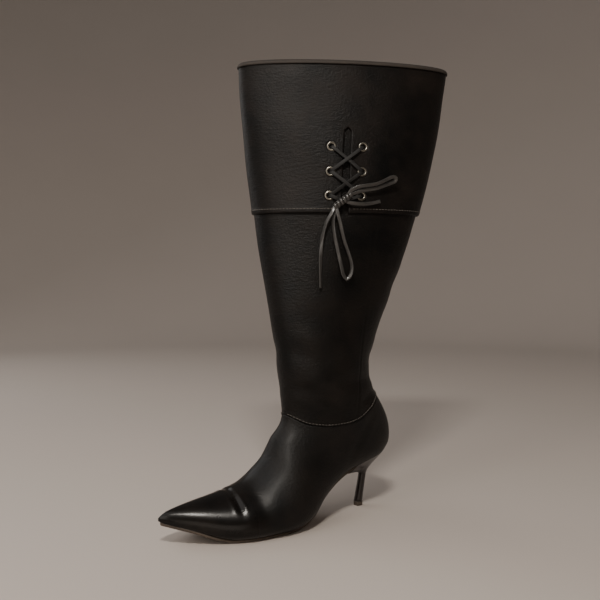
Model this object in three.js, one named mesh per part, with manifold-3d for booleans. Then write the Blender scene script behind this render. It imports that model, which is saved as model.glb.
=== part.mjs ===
// Knee-high dress boot with a slim covered heel, a pointed toe and a deep laced cuff: the left boot of a pair.
// Lengths are millimetres. X runs from the heel to the toe, Y to the outer side of the left foot, Z up.
// The tables measure x from the back of the counter, and the finished group is centred over its own footprint.
import * as THREE from 'three';
import { mergeVertices } from 'three/addons/utils/BufferGeometryUtils.js';
import Module from 'manifold-3d';

const wasm = await Module();
wasm.setup();

// Driving dimensions: foot and last
const footLength = 261; // toe tip to the back of the counter
const ballWidth = 79; // across the upper at the widest place of the forefoot
const heelHeight = 62; // floor to the edge of the upper at the back
const ankleHeight = 82; // edge of the upper at the back up to the narrowest ring of the ankle
const toeSpring = 19.5; // underside of the sole at the toe tip, above the floor
const toeShift = 9; // toe tip toward the inner side of the foot

// Driving dimensions: shaft and cuff
const shaftHeight = 315; // narrowest ring up to the rim
const rimLength = 215; // rim, front to back
const rimWidth = 58; // rim, side to side: the empty shaft stands pressed flat
const ankleLength = 103; // narrowest ring, front to back
const ankleWidth = 72; // narrowest ring, side to side
const rimSetBack = 31; // how far the middle of the rim lies behind the middle of the ankle
const rimLean = 8; // how far the middle of the rim leans to the inner side
const shaftTwist = 26; // degrees that the flattened shaft is turned against the foot, front edge inward
const cuffHeight = 152; // rim down to the lower edge of the cuff
const cuffWall = 2.2;

// Driving dimensions: walls and bottom
const upperWall = 1.8;
const soleThickness = 3;
const insoleThickness = 2;
const tipSize = 9.4; // across the top piece under the heel
const stemSize = 8; // across the stem of the heel
const topPieceHeight = 4.5;
const heelSet = 36; // axis of the heel's top piece, forward of the back of the counter
const breastPlace = 68; // front of the heel, where the outsole starts, from the back of the counter
const seam = 0.3; // gap that two neighbouring pieces keep

const RING_SIDES = 28;

// Tables
const FOOT_ROWS = [
  // Ridge and base of a section: X is a share of footLength, Lift a share of heelHeight and Rise a share of
  // ankleHeight, both over the line of the sole. outer and inner are half widths, as shares of ballWidth. wide is the
  // place of the widest point from base to ridge, and top and bottom are how full the curves over and under it are.
  {
    ridgeX: 0.998, ridgeLift: 0, ridgeRise: 0.045, baseX: 0.998, baseLift: 0, baseRise: 0.005,
    outer: 0.012, inner: 0.012, wide: 0.5, top: 2, bottom: 2,
  },
  {
    ridgeX: 0.976, ridgeLift: 0, ridgeRise: 0.12, baseX: 0.974, baseLift: 0, baseRise: -0.05,
    outer: 0.075, inner: 0.072, wide: 0.36, top: 1.8, bottom: 2.2,
  },
  {
    ridgeX: 0.9, ridgeLift: 0, ridgeRise: 0.255, baseX: 0.896, baseLift: 0, baseRise: -0.06,
    outer: 0.225, inner: 0.205, wide: 0.32, top: 1.75, bottom: 2.5,
  },
  {
    ridgeX: 0.805, ridgeLift: 0, ridgeRise: 0.42, baseX: 0.8, baseLift: 0, baseRise: -0.06,
    outer: 0.39, inner: 0.355, wide: 0.3, top: 1.7, bottom: 2.6,
  },
  {
    ridgeX: 0.7165, ridgeLift: 0, ridgeRise: 0.508, baseX: 0.706, baseLift: 0, baseRise: -0.06,
    outer: 0.5, inner: 0.45, wide: 0.3, top: 1.7, bottom: 2.6,
  },
  {
    ridgeX: 0.659, ridgeLift: 0, ridgeRise: 0.58, baseX: 0.618, baseLift: 0, baseRise: -0.06,
    outer: 0.53, inner: 0.47, wide: 0.3, top: 1.75, bottom: 2.6,
  },
  {
    ridgeX: 0.615, ridgeLift: 0.1, ridgeRise: 0.632, baseX: 0.528, baseLift: 0, baseRise: -0.06,
    outer: 0.56, inner: 0.445, wide: 0.32, top: 1.8, bottom: 2.6,
  },
  {
    ridgeX: 0.584, ridgeLift: 0.25, ridgeRise: 0.616, baseX: 0.436, baseLift: 0, baseRise: -0.08,
    outer: 0.545, inner: 0.405, wide: 0.36, top: 1.85, bottom: 2.6,
  },
  {
    ridgeX: 0.565, ridgeLift: 0.4, ridgeRise: 0.6, baseX: 0.345, baseLift: 0, baseRise: -0.08,
    outer: 0.472, inner: 0.375, wide: 0.4, top: 1.9, bottom: 2.6,
  },
  {
    ridgeX: 0.546, ridgeLift: 0.6, ridgeRise: 0.559, baseX: 0.23, baseLift: 0, baseRise: -0.08,
    outer: 0.405, inner: 0.37, wide: 0.44, top: 1.95, bottom: 2.6,
  },
  {
    ridgeX: 0.519, ridgeLift: 0.75, ridgeRise: 0.543, baseX: 0.088, baseLift: 0, baseRise: -0.08,
    outer: 0.4, inner: 0.375, wide: 0.46, top: 2, bottom: 2.6,
  },
  {
    ridgeX: 0.503, ridgeLift: 0.9, ridgeRise: 0.527, baseX: 0.018, baseLift: 0, baseRise: -0.02,
    outer: 0.395, inner: 0.38, wide: 0.47, top: 2, bottom: 2.5,
  },
  {
    ridgeX: 0.498, ridgeLift: 1, ridgeRise: 0.555, baseX: 0.005, baseLift: 0, baseRise: 0.2,
    outer: 0.4, inner: 0.39, wide: 0.48, top: 2, bottom: 2.4,
  },
  {
    ridgeX: 0.499, ridgeLift: 1, ridgeRise: 0.662, baseX: 0.018, baseLift: 0, baseRise: 0.4,
    outer: 0.42, inner: 0.41, wide: 0.49, top: 2, bottom: 2.3,
  },
  {
    ridgeX: 0.501, ridgeLift: 1, ridgeRise: 0.772, baseX: 0.05, baseLift: 0, baseRise: 0.61,
    outer: 0.438, inner: 0.43, wide: 0.5, top: 2, bottom: 2.2,
  },
  {
    ridgeX: 0.504, ridgeLift: 1, ridgeRise: 0.87, baseX: 0.088, baseLift: 0, baseRise: 0.81,
    outer: 0.45, inner: 0.448, wide: 0.5, top: 2, bottom: 2.1,
  },
];

const SHAFT_ROWS = [
  // up is a share of shaftHeight from the narrowest ring. length and width go from the ankle's size at 0 to the
  // rim's at 1, back from the ankle's middle to the rim's, and turn from none to shaftTwist.
  { up: 0, length: 0, width: 0, back: 0, turn: 0 },
  { up: 0.06, length: 0.03, width: 0, back: 0.02, turn: 0.06 },
  { up: 0.18, length: 0.18, width: -0.1, back: 0.15, turn: 0.3 },
  { up: 0.3, length: 0.335, width: -0.25, back: 0.3, turn: 0.62 },
  { up: 0.42, length: 0.49, width: -0.35, back: 0.46, turn: 0.84 },
  { up: 0.54, length: 0.63, width: -0.35, back: 0.62, turn: 0.96 },
  { up: 0.66, length: 0.76, width: -0.1, back: 0.76, turn: 1 },
  { up: 0.8, length: 0.88, width: 0.3, back: 0.88, turn: 1 },
  { up: 0.92, length: 0.96, width: 0.75, back: 0.96, turn: 1 },
  { up: 1, length: 1, width: 1, back: 1, turn: 1 },
  { up: 1.06, length: 1, width: 1, back: 1, turn: 1 },
];

const SOLE_LINE = [
  // underside of the sole: x is a share of footLength, lift a share of heelHeight and spring of toeSpring
  { x: -0.1, lift: 1.03, spring: 0 },
  { x: 0, lift: 0.955, spring: 0 },
  { x: 0.14, lift: 0.85, spring: 0 },
  { x: 0.26, lift: 0.69, spring: 0 },
  { x: 0.32, lift: 0.57, spring: 0 },
  { x: 0.38, lift: 0.36, spring: 0 },
  { x: 0.43, lift: 0.16, spring: 0 },
  { x: 0.475, lift: 0.03, spring: 0 },
  { x: 0.51, lift: 0, spring: 0 },
  { x: 0.75, lift: 0, spring: 0 },
  { x: 0.82, lift: 0, spring: 0.2 },
  { x: 0.9, lift: 0, spring: 0.6 },
  { x: 1, lift: 0, spring: 1 },
  { x: 1.1, lift: 0, spring: 1.35 },
];

const ANKLE_SEAM = [
  // upper edge of the foot part in the side view: x is a share of footLength, up a share of ankleHeight over the heel
  { x: -0.2, up: 0.76 },
  { x: 0.06, up: 0.75 },
  { x: 0.12, up: 0.7 },
  { x: 0.18, up: 0.57 },
  { x: 0.24, up: 0.46 },
  { x: 0.29, up: 0.425 },
  { x: 0.35, up: 0.415 },
  { x: 0.43, up: 0.445 },
  { x: 0.5, up: 0.56 },
  { x: 0.54, up: 0.66 },
  { x: 0.8, up: 1.2 },
];

// Smooth interpolation that never overshoots its table
function smoothColumn(rows, place, value) {
  const xs = rows.map(place);
  const ys = rows.map(value);
  const slopes = ys.map((_, i) => {
    if (i === 0 || i === xs.length - 1) {
      return 0;
    }
    const before = (ys[i] - ys[i - 1]) / (xs[i] - xs[i - 1]);
    const after = (ys[i + 1] - ys[i]) / (xs[i + 1] - xs[i]);
    return before * after <= 0 ? 0 : (2 * before * after) / (before + after);
  });
  return (x) => {
    let i = 0;
    while (i < xs.length - 2 && x > xs[i + 1]) {
      i += 1;
    }
    const span = xs[i + 1] - xs[i];
    const t = THREE.MathUtils.clamp((x - xs[i]) / span, 0, 1);
    const blend = t * t * (3 - 2 * t);
    return (
      ys[i] * (1 - blend) + ys[i + 1] * blend
      + span * t * (1 - t) * (slopes[i] * (1 - t) - slopes[i + 1] * t)
    );
  };
}

const soleUnderside = smoothColumn(
  SOLE_LINE,
  (row) => row.x * footLength,
  (row) => row.lift * heelHeight + row.spring * toeSpring,
);

// Edge of the upper over the outsole and the heel
const soleLine = (x) => soleUnderside(x) + soleThickness;

const centreLine = (x) => -toeShift * Math.max(0, x / footLength - 0.45) ** 2 / 0.55 ** 2;

function footSection(row) {
  const ridgeX = row.ridgeX * footLength;
  const baseX = row.baseX * footLength;
  return {
    ridge: [ridgeX, soleLine(ridgeX) + row.ridgeLift * heelHeight + row.ridgeRise * ankleHeight],
    base: [baseX, soleLine(baseX) + row.baseLift * heelHeight + row.baseRise * ankleHeight],
    middle: centreLine(ridgeX),
    outer: row.outer * ballWidth,
    inner: row.inner * ballWidth,
    wide: row.wide,
    top: row.top,
    bottom: row.bottom,
    turn: 0,
  };
}

const ankleMiddle = 81; // middle of the narrowest ring, from the back of the counter

function shaftSection(row) {
  const half = THREE.MathUtils.lerp(ankleLength, rimLength, row.length) / 2;
  const side = THREE.MathUtils.lerp(ankleWidth, rimWidth, row.width) / 2;
  const x = ankleMiddle - row.back * rimSetBack;
  const z = heelHeight + ankleHeight + row.up * shaftHeight;
  return {
    ridge: [x + half, z],
    base: [x - half, z],
    middle: -row.back * rimLean,
    outer: side,
    inner: side,
    wide: 0.5,
    top: 2,
    bottom: 2,
    turn: row.turn * shaftTwist,
  };
}

const SECTIONS = [...FOOT_ROWS.map(footSection), ...SHAFT_ROWS.map(shaftSection)];

// Distance along the boot of every section, halfway between its ridge and its base
const STATIONS = SECTIONS.reduce((list, section, i) => {
  if (i === 0) {
    return [0];
  }
  const last = SECTIONS[i - 1];
  const along = (key) => Math.hypot(section[key][0] - last[key][0], section[key][1] - last[key][1]);
  return [...list, list[i - 1] + (along('ridge') + along('base')) / 2];
}, []);

const column = (read) => smoothTable(SECTIONS.map(read));

// Smooth interpolation over the stations that passes through each section with a shared slope
function smoothTable(values) {
  const slopes = values.map((_, i) => {
    const a = Math.max(0, i - 1);
    const b = Math.min(values.length - 1, i + 1);
    return (values[b] - values[a]) / (STATIONS[b] - STATIONS[a]);
  });
  return (at) => {
    let i = 0;
    while (i < STATIONS.length - 2 && at > STATIONS[i + 1]) {
      i += 1;
    }
    const span = STATIONS[i + 1] - STATIONS[i];
    const t = THREE.MathUtils.clamp((at - STATIONS[i]) / span, 0, 1);
    const blend = t * t * (3 - 2 * t);
    return (
      values[i] * (1 - blend) + values[i + 1] * blend
      + span * t * (1 - t) * (slopes[i] * (1 - t) - slopes[i + 1] * t)
    );
  };
}

const SHAPE = {
  ridgeX: column((s) => s.ridge[0]),
  ridgeZ: column((s) => s.ridge[1]),
  baseX: column((s) => s.base[0]),
  baseZ: column((s) => s.base[1]),
  middle: column((s) => s.middle),
  outer: column((s) => s.outer),
  inner: column((s) => s.inner),
  wide: column((s) => s.wide),
  top: column((s) => s.top),
  bottom: column((s) => s.bottom),
  turn: column((s) => s.turn),
};

const crowding = 0.45; // how much the points of a section crowd together where it turns

// One half of a section, from ridge to base, as points spread along it
function halfRing(at, side, count) {
  const width = side > 0 ? SHAPE.outer(at) : SHAPE.inner(at);
  const wide = SHAPE.wide(at);
  const steps = 96;
  const fine = [];
  for (let i = 0; i <= steps; i += 1) {
    const angle = (Math.PI * i) / steps;
    const full = angle < Math.PI / 2 ? SHAPE.top(at) : SHAPE.bottom(at);
    const reach = Math.sin(angle) ** (2 / full);
    const climb = Math.sign(Math.cos(angle)) * Math.abs(Math.cos(angle)) ** (2 / full);
    const share = climb > 0 ? wide + (1 - wide) * climb : wide + wide * climb;
    fine.push([share, side * width * reach]);
  }
  const height = Math.hypot(SHAPE.ridgeX(at) - SHAPE.baseX(at), SHAPE.ridgeZ(at) - SHAPE.baseZ(at));
  const lengths = fine.slice(1).map(([share, y], i) => Math.hypot((share - fine[i][0]) * height, y - fine[i][1]));
  const total = lengths.reduce((sum, length) => sum + length);
  const along = [0];
  for (const length of lengths) {
    along.push(along.at(-1) + (1 - crowding) * (length / total) + crowding / steps);
  }
  const points = [];
  let k = 0;
  for (let i = 0; i <= count; i += 1) {
    const want = (along[steps] * i) / count;
    while (k < steps - 1 && along[k + 1] < want) {
      k += 1;
    }
    const t = (want - along[k]) / (along[k + 1] - along[k]);
    points.push([
      THREE.MathUtils.lerp(fine[k][0], fine[k + 1][0], t),
      THREE.MathUtils.lerp(fine[k][1], fine[k + 1][1], t),
    ]);
  }
  return points;
}

// A closed ring of the boot's outer surface: ridge, outer side, base, inner side
function ring(at, sides = RING_SIDES) {
  const outer = halfRing(at, 1, sides / 2);
  const inner = halfRing(at, -1, sides / 2).slice(1, -1).reverse();
  const ridge = [SHAPE.ridgeX(at), SHAPE.ridgeZ(at)];
  const base = [SHAPE.baseX(at), SHAPE.baseZ(at)];
  const middle = SHAPE.middle(at);
  const centreX = (ridge[0] + base[0]) / 2;
  const turn = THREE.MathUtils.degToRad(-SHAPE.turn(at));
  return [...outer, ...inner].map(([share, y]) => {
    const x = THREE.MathUtils.lerp(base[0], ridge[0], share) - centreX;
    return new THREE.Vector3(
      centreX + x * Math.cos(turn) - y * Math.sin(turn),
      middle + x * Math.sin(turn) + y * Math.cos(turn),
      THREE.MathUtils.lerp(base[1], ridge[1], share),
    );
  });
}

// The same ring moved outward along the surface's normal, or inward where out is negative
function offsetRing(at, out, sides = RING_SIDES) {
  const here = ring(at, sides);
  if (out === 0) {
    return here;
  }
  const reach = 1;
  const ahead = ring(Math.min(at + reach, STATIONS.at(-1)), sides);
  const behind = ring(Math.max(at - reach, 0), sides);
  return here.map((point, i) => {
    const around = new THREE.Vector3().subVectors(here[(i + 1) % sides], here[(i + sides - 1) % sides]);
    const along = new THREE.Vector3().subVectors(ahead[i], behind[i]);
    const normal = new THREE.Vector3().crossVectors(around, along).normalize();
    return point.clone().addScaledVector(normal, out);
  });
}

// Closed solid through rings that all have the same number of points
function loft(rings) {
  const sides = rings[0].length;
  const positions = rings.flat().flatMap((p) => [p.x, p.y, p.z]);
  const index = [];
  for (let r = 0; r < rings.length - 1; r += 1) {
    for (let i = 0; i < sides; i += 1) {
      const a = r * sides + i;
      const b = r * sides + ((i + 1) % sides);
      index.push(a, b, a + sides, b, b + sides, a + sides);
    }
  }
  const cap = (r, flip) => {
    const centre = rings[r].reduce((sum, p) => sum.add(p), new THREE.Vector3()).divideScalar(sides);
    const apex = positions.length / 3;
    positions.push(centre.x, centre.y, centre.z);
    for (let i = 0; i < sides; i += 1) {
      const a = r * sides + i;
      const b = r * sides + ((i + 1) % sides);
      index.push(...(flip ? [b, a, apex] : [a, b, apex]));
    }
  };
  cap(0, true);
  cap(rings.length - 1, false);
  const geometry = new THREE.BufferGeometry();
  geometry.setAttribute('position', new THREE.Float32BufferAttribute(positions, 3));
  geometry.setIndex(index);
  return geometry;
}

// Solid and boolean helpers
function toSolid(geometry) {
  const bare = geometry.clone();
  bare.deleteAttribute('normal');
  bare.deleteAttribute('uv');
  const merged = mergeVertices(bare, 1e-4);
  const solid = new wasm.Manifold(
    new wasm.Mesh({
      numProp: 3,
      vertProperties: new Float32Array(merged.attributes.position.array),
      triVerts: new Uint32Array(merged.index.array),
    }),
  );
  return solid;
}

function toGeometry(solid) {
  const mesh = solid.getMesh();
  const geometry = new THREE.BufferGeometry();
  geometry.setAttribute('position', new THREE.Float32BufferAttribute(mesh.vertProperties, 3));
  geometry.setIndex(new THREE.Uint32BufferAttribute(mesh.triVerts, 1));
  return geometry;
}

const throughWidth = 2 * rimLength; // depth of a cutter that passes right through the boot

// Prism with an outline in the side view, from one distance across the boot to another
function sidePrism(outline, from = -throughWidth / 2, to = throughWidth / 2) {
  const shape = new THREE.Shape(outline.map(([x, z]) => new THREE.Vector2(x, z)));
  const geometry = new THREE.ExtrudeGeometry(shape, { depth: to - from, bevelEnabled: false });
  geometry.rotateX(Math.PI / 2);
  geometry.translate(0, to, 0);
  return geometry;
}

const lineStep = footLength / 40; // lines of the side view have their points at multiples of this

// Places from one to another that every line of the side view shares
function sharedPlaces(from, to) {
  const first = Math.floor(from / lineStep) + 1;
  const last = Math.ceil(to / lineStep) - 1;
  const inner = Array.from({ length: last - first + 1 }, (_, i) => (first + i) * lineStep);
  return [from, ...inner, to];
}

const traced = (line, from, to) => sharedPlaces(from, to).map((x) => [x, line(x)]);

const ankleSeam = smoothColumn(
  ANKLE_SEAM,
  (row) => row.x * footLength,
  (row) => heelHeight + row.up * ankleHeight,
);

// Place along the boot of the ring whose ridge is at a height
function atHeight(z) {
  let low = STATIONS[FOOT_ROWS.length];
  let high = STATIONS.at(-1);
  for (let i = 0; i < 40; i += 1) {
    const middle = (low + high) / 2;
    if (SHAPE.ridgeZ(middle) < z) {
      low = middle;
    } else {
      high = middle;
    }
  }
  return low;
}

const rimZ = heelHeight + ankleHeight + shaftHeight;
const cuffBottom = rimZ - cuffHeight;
const rimFold = 2.4; // leather of the cuff that is folded over the top of the shaft
const footStep = 10; // distance between the rings of the foot
const shaftStep = 26; // distance between the rings of the shaft

// Places of the rings from one station to another, closer together in the foot than in the shaft
function ringPlaces(from, to) {
  const places = [];
  const ankle = STATIONS[FOOT_ROWS.length];
  for (let at = from; at < to - footStep / 2; at += at < ankle ? footStep : shaftStep) {
    places.push(at);
  }
  return [...places, to];
}

// The boot's whole form, larger or smaller than its outer surface by out
function form(out, from, to) {
  return toSolid(loft(ringPlaces(from, to).map((at) => offsetRing(at, out))));
}

const lastPlace = STATIONS.at(-1);
const toeWall = 9; // the inside of the toe starts this far behind the tip
const outerForm = form(0, 0, lastPlace);
const innerForm = form(-upperWall, toeWall, lastPlace);
const wall = outerForm.subtract(innerForm);

const pastBack = -0.3 * footLength;
const pastToe = 1.05 * footLength;

// What lies between two lines of the side view
function between(low, high, from = pastBack, to = pastToe) {
  return toSolid(
    sidePrism([
      ...traced(low, from, to),
      ...traced(high, from, to).reverse(),
    ]),
  );
}

// Zip on the inner side: its line in the side view, from the shaft down to the arch
const zipTop = 268;
const zipBottom = 53;
const zipSlot = 5.6;
const chainWidth = 4.4;
const tapeWidth = 22;
const tapeWall = 0.9;
const tapeReach = 5; // the tape ends this far past the slot
const zipStraight = ankleMiddle - 2; // the zip's place at the ankle, from the back of the counter

// The zip follows the middle of the shaft above the ankle and runs straight down below it
function zipX(z) {
  const ankleZ = heelHeight + ankleHeight;
  return z < ankleZ ? zipStraight : zipStraight - (rimSetBack * (z - ankleZ)) / shaftHeight;
}

function zipStrip(width, low, high) {
  const heights = Array.from({ length: 7 }, (_, i) => THREE.MathUtils.lerp(low, high, i / 6));
  return toSolid(
    sidePrism(
      [
        ...heights.map((z) => [zipX(z) + width / 2, z]),
        ...heights.reverse().map((z) => [zipX(z) - width / 2, z]),
      ],
      -throughWidth / 2,
      -rimLean,
    ),
  );
}

const slot = zipStrip(zipSlot, zipBottom, zipTop);

function makeUpper() {
  const foot = between(soleLine, (x) => Math.min(ankleSeam(x) - seam / 2, rimZ));
  return wall.intersect(foot).subtract(slot);
}

function makeShaft() {
  const leg = between((x) => ankleSeam(x) + seam / 2, () => rimZ - rimFold - seam);
  return wall.intersect(leg).subtract(slot);
}

function makeTape() {
  const out = -upperWall - seam;
  const shell = form(out, toeWall, lastPlace).subtract(form(out - tapeWall, toeWall, lastPlace));
  return shell.intersect(zipStrip(tapeWidth, zipBottom - tapeReach, zipTop + tapeReach));
}

function makeChain() {
  const shell = form(-0.2, toeWall, lastPlace).subtract(innerForm);
  return shell.intersect(zipStrip(chainWidth, zipBottom + seam, zipTop - seam));
}

// Frame of the cuff: its middle is the middle of the rim, and its length lies along the flattened rim
const cuffTurn = THREE.MathUtils.degToRad(-shaftTwist);
const rimMiddle = new THREE.Vector3(ankleMiddle - rimSetBack, -rimLean, 0);
const UP = new THREE.Vector3(0, 0, 1);

function cuffGroup() {
  const frame = new THREE.Group();
  frame.position.copy(rimMiddle);
  frame.rotation.z = cuffTurn;
  return frame;
}

// Point of the cuff's frame over the leather on the outer side, at a place along the flattened shaft and a height
function overLeather(along, z, out) {
  const half = ring(atHeight(z), 128).slice(0, 65).map((p) => p.sub(rimMiddle).applyAxisAngle(UP, -cuffTurn));
  const i = half.findIndex((p) => p.x < along);
  const t = (half[i - 1].x - along) / (half[i - 1].x - half[i].x);
  return new THREE.Vector3(along, THREE.MathUtils.lerp(half[i - 1].y, half[i].y, t) + out, z);
}

// Lacing on the outer side of the cuff
const slitPlace = 3.6; // top of the slit, forward of the middle of the cuff
const slitLean = 0.065; // the slit runs forward by this share of its depth
const slitWidth = 7;
const slitDrop = 67; // top of the slit, under the rim
const eyeletDrops = [86, 111, 135]; // the three pairs of eyelets lie this far under the rim
const eyeletSpread = 32; // between the two eyelets of a pair
const eyeletSize = 10;
const eyeletBore = 5;
const eyeletFlange = 1;
const barrelWall = 0.7;
const laceWidth = 3.6;
const laceWall = 1.4;
const cuffFace = seam + cuffWall; // outer face of the cuff over the shaft's leather

const slitTop = rimZ - slitDrop;
const slitMiddle = (z) => slitPlace + slitLean * (slitTop - z);

const eyeletPlaces = eyeletDrops.flatMap((drop, i) => {
  const z = rimZ - drop;
  return [
    { name: `eyelet_front_${i + 1}`, along: slitMiddle(z) + eyeletSpread / 2, z },
    { name: `eyelet_back_${i + 1}`, along: slitMiddle(z) - eyeletSpread / 2, z },
  ];
});

// Turn that lays a piece modelled along Z onto the cuff, with its axis out of the leather
function leatherTurn(along, z) {
  const aheadX = overLeather(along + 1, z, 0).sub(overLeather(along - 1, z, 0)).normalize();
  const aheadZ = overLeather(along, z + 1, 0).sub(overLeather(along, z - 1, 0)).normalize();
  const out = new THREE.Vector3().crossVectors(aheadZ, aheadX).normalize();
  const across = new THREE.Vector3().crossVectors(out, aheadX).normalize();
  return new THREE.Matrix4().makeBasis(aheadX, across, out);
}

function inCuffFrame(solid) {
  const matrix = new THREE.Matrix4().makeRotationZ(cuffTurn).setPosition(rimMiddle);
  return solid.transform(matrix.elements);
}

function makeCuff() {
  const from = atHeight(cuffBottom - 3 * shaftStep);
  const outside = form(cuffFace, from, lastPlace);
  const around = form(seam, from, lastPlace);
  const flat = (z) => () => z;
  const band = outside.intersect(between(flat(cuffBottom), flat(rimZ)));
  const hollow = around.intersect(between(flat(cuffBottom - 1), flat(rimZ - rimFold)));
  const slitOutline = [];
  const round = slitWidth / 2;
  for (let i = 0; i <= 8; i += 1) {
    const angle = (Math.PI * i) / 8;
    slitOutline.push([slitPlace + round * Math.cos(angle), slitTop - round + round * Math.sin(angle)]);
  }
  const foot = slitMiddle(cuffBottom - 1);
  slitOutline.push([foot - round, cuffBottom - 1], [foot + round, cuffBottom - 1]);
  const slit = inCuffFrame(toSolid(sidePrism(slitOutline, 0, rimWidth * 2)));
  const bores = eyeletPlaces.map(({ along, z }) => {
    const bore = new THREE.CylinderGeometry(
      eyeletBore / 2 + barrelWall + seam,
      eyeletBore / 2 + barrelWall + seam,
      4 * cuffWall,
      12,
    );
    bore.rotateX(Math.PI / 2);
    bore.applyMatrix4(leatherTurn(along, z).setPosition(overLeather(along, z, cuffFace)));
    return inCuffFrame(toSolid(bore));
  });
  return bores.reduce((cuff, bore) => cuff.subtract(bore), band.subtract(hollow).subtract(innerForm).subtract(slit));
}

// Rolled eyelet, modelled along Z with the underside of its flange at zero
function eyeletGeometry() {
  const inside = eyeletBore / 2;
  const barrel = inside + barrelWall;
  const rim = eyeletSize / 2;
  const depth = cuffWall + seam - 0.2;
  const profile = [
    [inside, -depth],
    [barrel, -depth],
    [barrel, 0],
    [rim, 0],
    [rim - 0.2, 0.6 * eyeletFlange],
    [(rim + inside) / 2, eyeletFlange],
    [inside + 0.2, 0.7 * eyeletFlange],
    [inside, 0],
    [inside, -depth],
  ];
  const geometry = new THREE.LatheGeometry(profile.map(([r, y]) => new THREE.Vector2(r, y)), 12);
  geometry.rotateX(Math.PI / 2);
  return geometry;
}

// Height of the lace's underside over the shaft's leather where it crosses the eyelets
const laceGap = 0.6;
const laceOver = cuffFace + seam + eyeletFlange + laceGap;

function laceBar(from, to) {
  const a = overLeather(from.along, from.z, laceOver + laceWall / 2);
  const b = overLeather(to.along, to.z, laceOver + laceWall / 2);
  const bar = new THREE.BoxGeometry(a.distanceTo(b) + laceWidth / 2, laceWidth, laceWall);
  const along = new THREE.Vector3().subVectors(b, a).normalize();
  const out = new THREE.Vector3(0, 1, 0);
  const across = new THREE.Vector3().crossVectors(out, along).normalize();
  out.crossVectors(along, across);
  bar.applyMatrix4(new THREE.Matrix4().makeBasis(along, across, out).setPosition(a.lerp(b, 0.5)));
  return toSolid(bar);
}

// The stretch of lace that goes down into an eyelet
function lacePlug({ along, z }) {
  const depth = eyeletFlange + laceGap;
  const plug = new THREE.CylinderGeometry(laceWall, laceWall, depth + laceWall / 2, 8);
  plug.rotateX(Math.PI / 2);
  plug.translate(0, 0, -depth / 2 + laceWall / 4);
  plug.applyMatrix4(leatherTurn(along, z).setPosition(overLeather(along, z, laceOver)));
  return toSolid(plug);
}

function makeCrossings() {
  const pieces = [];
  for (let i = 0; i < eyeletDrops.length - 1; i += 1) {
    const [front, back, nextFront, nextBack] = eyeletPlaces.slice(2 * i, 2 * i + 4);
    pieces.push(laceBar(front, nextBack), laceBar(back, nextFront));
  }
  pieces.push(...eyeletPlaces.map(lacePlug));
  return pieces.reduce((whole, piece) => whole.add(piece));
}

// Knot, loops and ends of the lace. Their points are in the cuff's frame: along it, out of it, up
const laceSize = 2.6;
const LACE_ROUTES = {
  lace_loop_back: [
    [3.5, 53.2, 328.5], [-4, 54, 332.2], [-13, 54.2, 333.8], [-22, 53, 335.4], [-31, 51.4, 339.2], [-38.5, 50, 342.8],
    [-42.6, 48.2, 342.6], [-43.2, 46.6, 339.6], [-39.5, 47.2, 337.6], [-31, 48.8, 334.4], [-22, 50, 331.2],
    [-13, 51, 329.6], [-4.5, 51.6, 327.6],
  ],
  lace_end_back: [
    [6.2, 52.3, 317.2], [-2, 52.6, 316], [-9, 51.9, 315.8], [-16, 50.6, 316.4], [-22, 49.2, 317.6], [-27, 48, 318.8],
  ],
  lace_end_down: [
    [20.1, 53.7, 311.3], [23.2, 54.6, 306.2], [26.6, 54.4, 300.6], [29.6, 54.2, 293], [31.8, 54, 284],
    [33.2, 54.2, 274], [34, 54.8, 263], [34.3, 55.6, 252], [34.4, 56.6, 242], [34.4, 57.4, 233.4],
  ],
  lace_loop_down: [
    [18, 54.1, 310.5], [16.8, 55.4, 304.6], [14.8, 55.6, 297], [12.6, 55.6, 287], [10.2, 55.6, 278], [7.2, 55.8, 269.6], [4.4, 56, 261],
    [3.2, 56.4, 253], [4.6, 56.6, 245.6], [8.4, 56.6, 242], [11.8, 56.4, 246.4], [13.6, 56, 254], [15.8, 55.4, 264],
    [18.2, 54.8, 275], [20.4, 54, 287], [21.2, 53, 297], [20.6, 52.4, 304],
  ],
};
const LACE_KNOT = { from: [19.4, 53.1, 313], to: [4.4, 52.1, 324], size: 7.6 };

function laceTube(points) {
  const curve = new THREE.CatmullRomCurve3(points.map((p) => new THREE.Vector3(...p)), false, 'centripetal');
  const sides = 8;
  const section = new THREE.Shape(
    Array.from({ length: sides }, (_, i) => {
      const angle = (2 * Math.PI * i) / sides;
      return new THREE.Vector2(Math.cos(angle), Math.sin(angle)).multiplyScalar(laceSize / 2);
    }),
  );
  const steps = Math.ceil(curve.getLength() / (2 * laceSize));
  return new THREE.ExtrudeGeometry(section, { steps, extrudePath: curve, bevelEnabled: false });
}

// The knot is wound along the line between its two ends
function knotGeometry() {
  const from = new THREE.Vector3(...LACE_KNOT.from);
  const to = new THREE.Vector3(...LACE_KNOT.to);
  const half = from.distanceTo(to) / 2;
  const radius = LACE_KNOT.size / 2;
  const profile = [[0, -half], [0.6, -half], [0.95, -0.55 * half], [1, 0], [0.95, 0.55 * half], [0.6, half], [0, half]];
  const geometry = new THREE.LatheGeometry(profile.map(([r, y]) => new THREE.Vector2(r * radius, y)), 12);
  const turn = new THREE.Quaternion().setFromUnitVectors(
    new THREE.Vector3(0, 1, 0),
    new THREE.Vector3().subVectors(to, from).normalize(),
  );
  geometry.applyQuaternion(turn);
  geometry.translate(...from.lerp(to, 0.5));
  return geometry;
}

// Slider and pull tab of the zip, modelled with x along the leather, y out of it and z up
const sliderDrop = 191; // middle of the slider, under the rim
const sliderWidth = 7.4;
const sliderLength = 9;
const sliderWall = 2.2;
const bailWidth = 1.6;
const bailHeight = 3;
const bailWall = 1.1;
const pinSize = 1.3;
const tabLength = 27;
const tabWidth = 4.6;
const tabWall = 1.1;
const armReach = 6.4; // pin to the solid part of the tab, so that the tab turns clear of the bail
const pinClear = 0.3;

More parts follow.
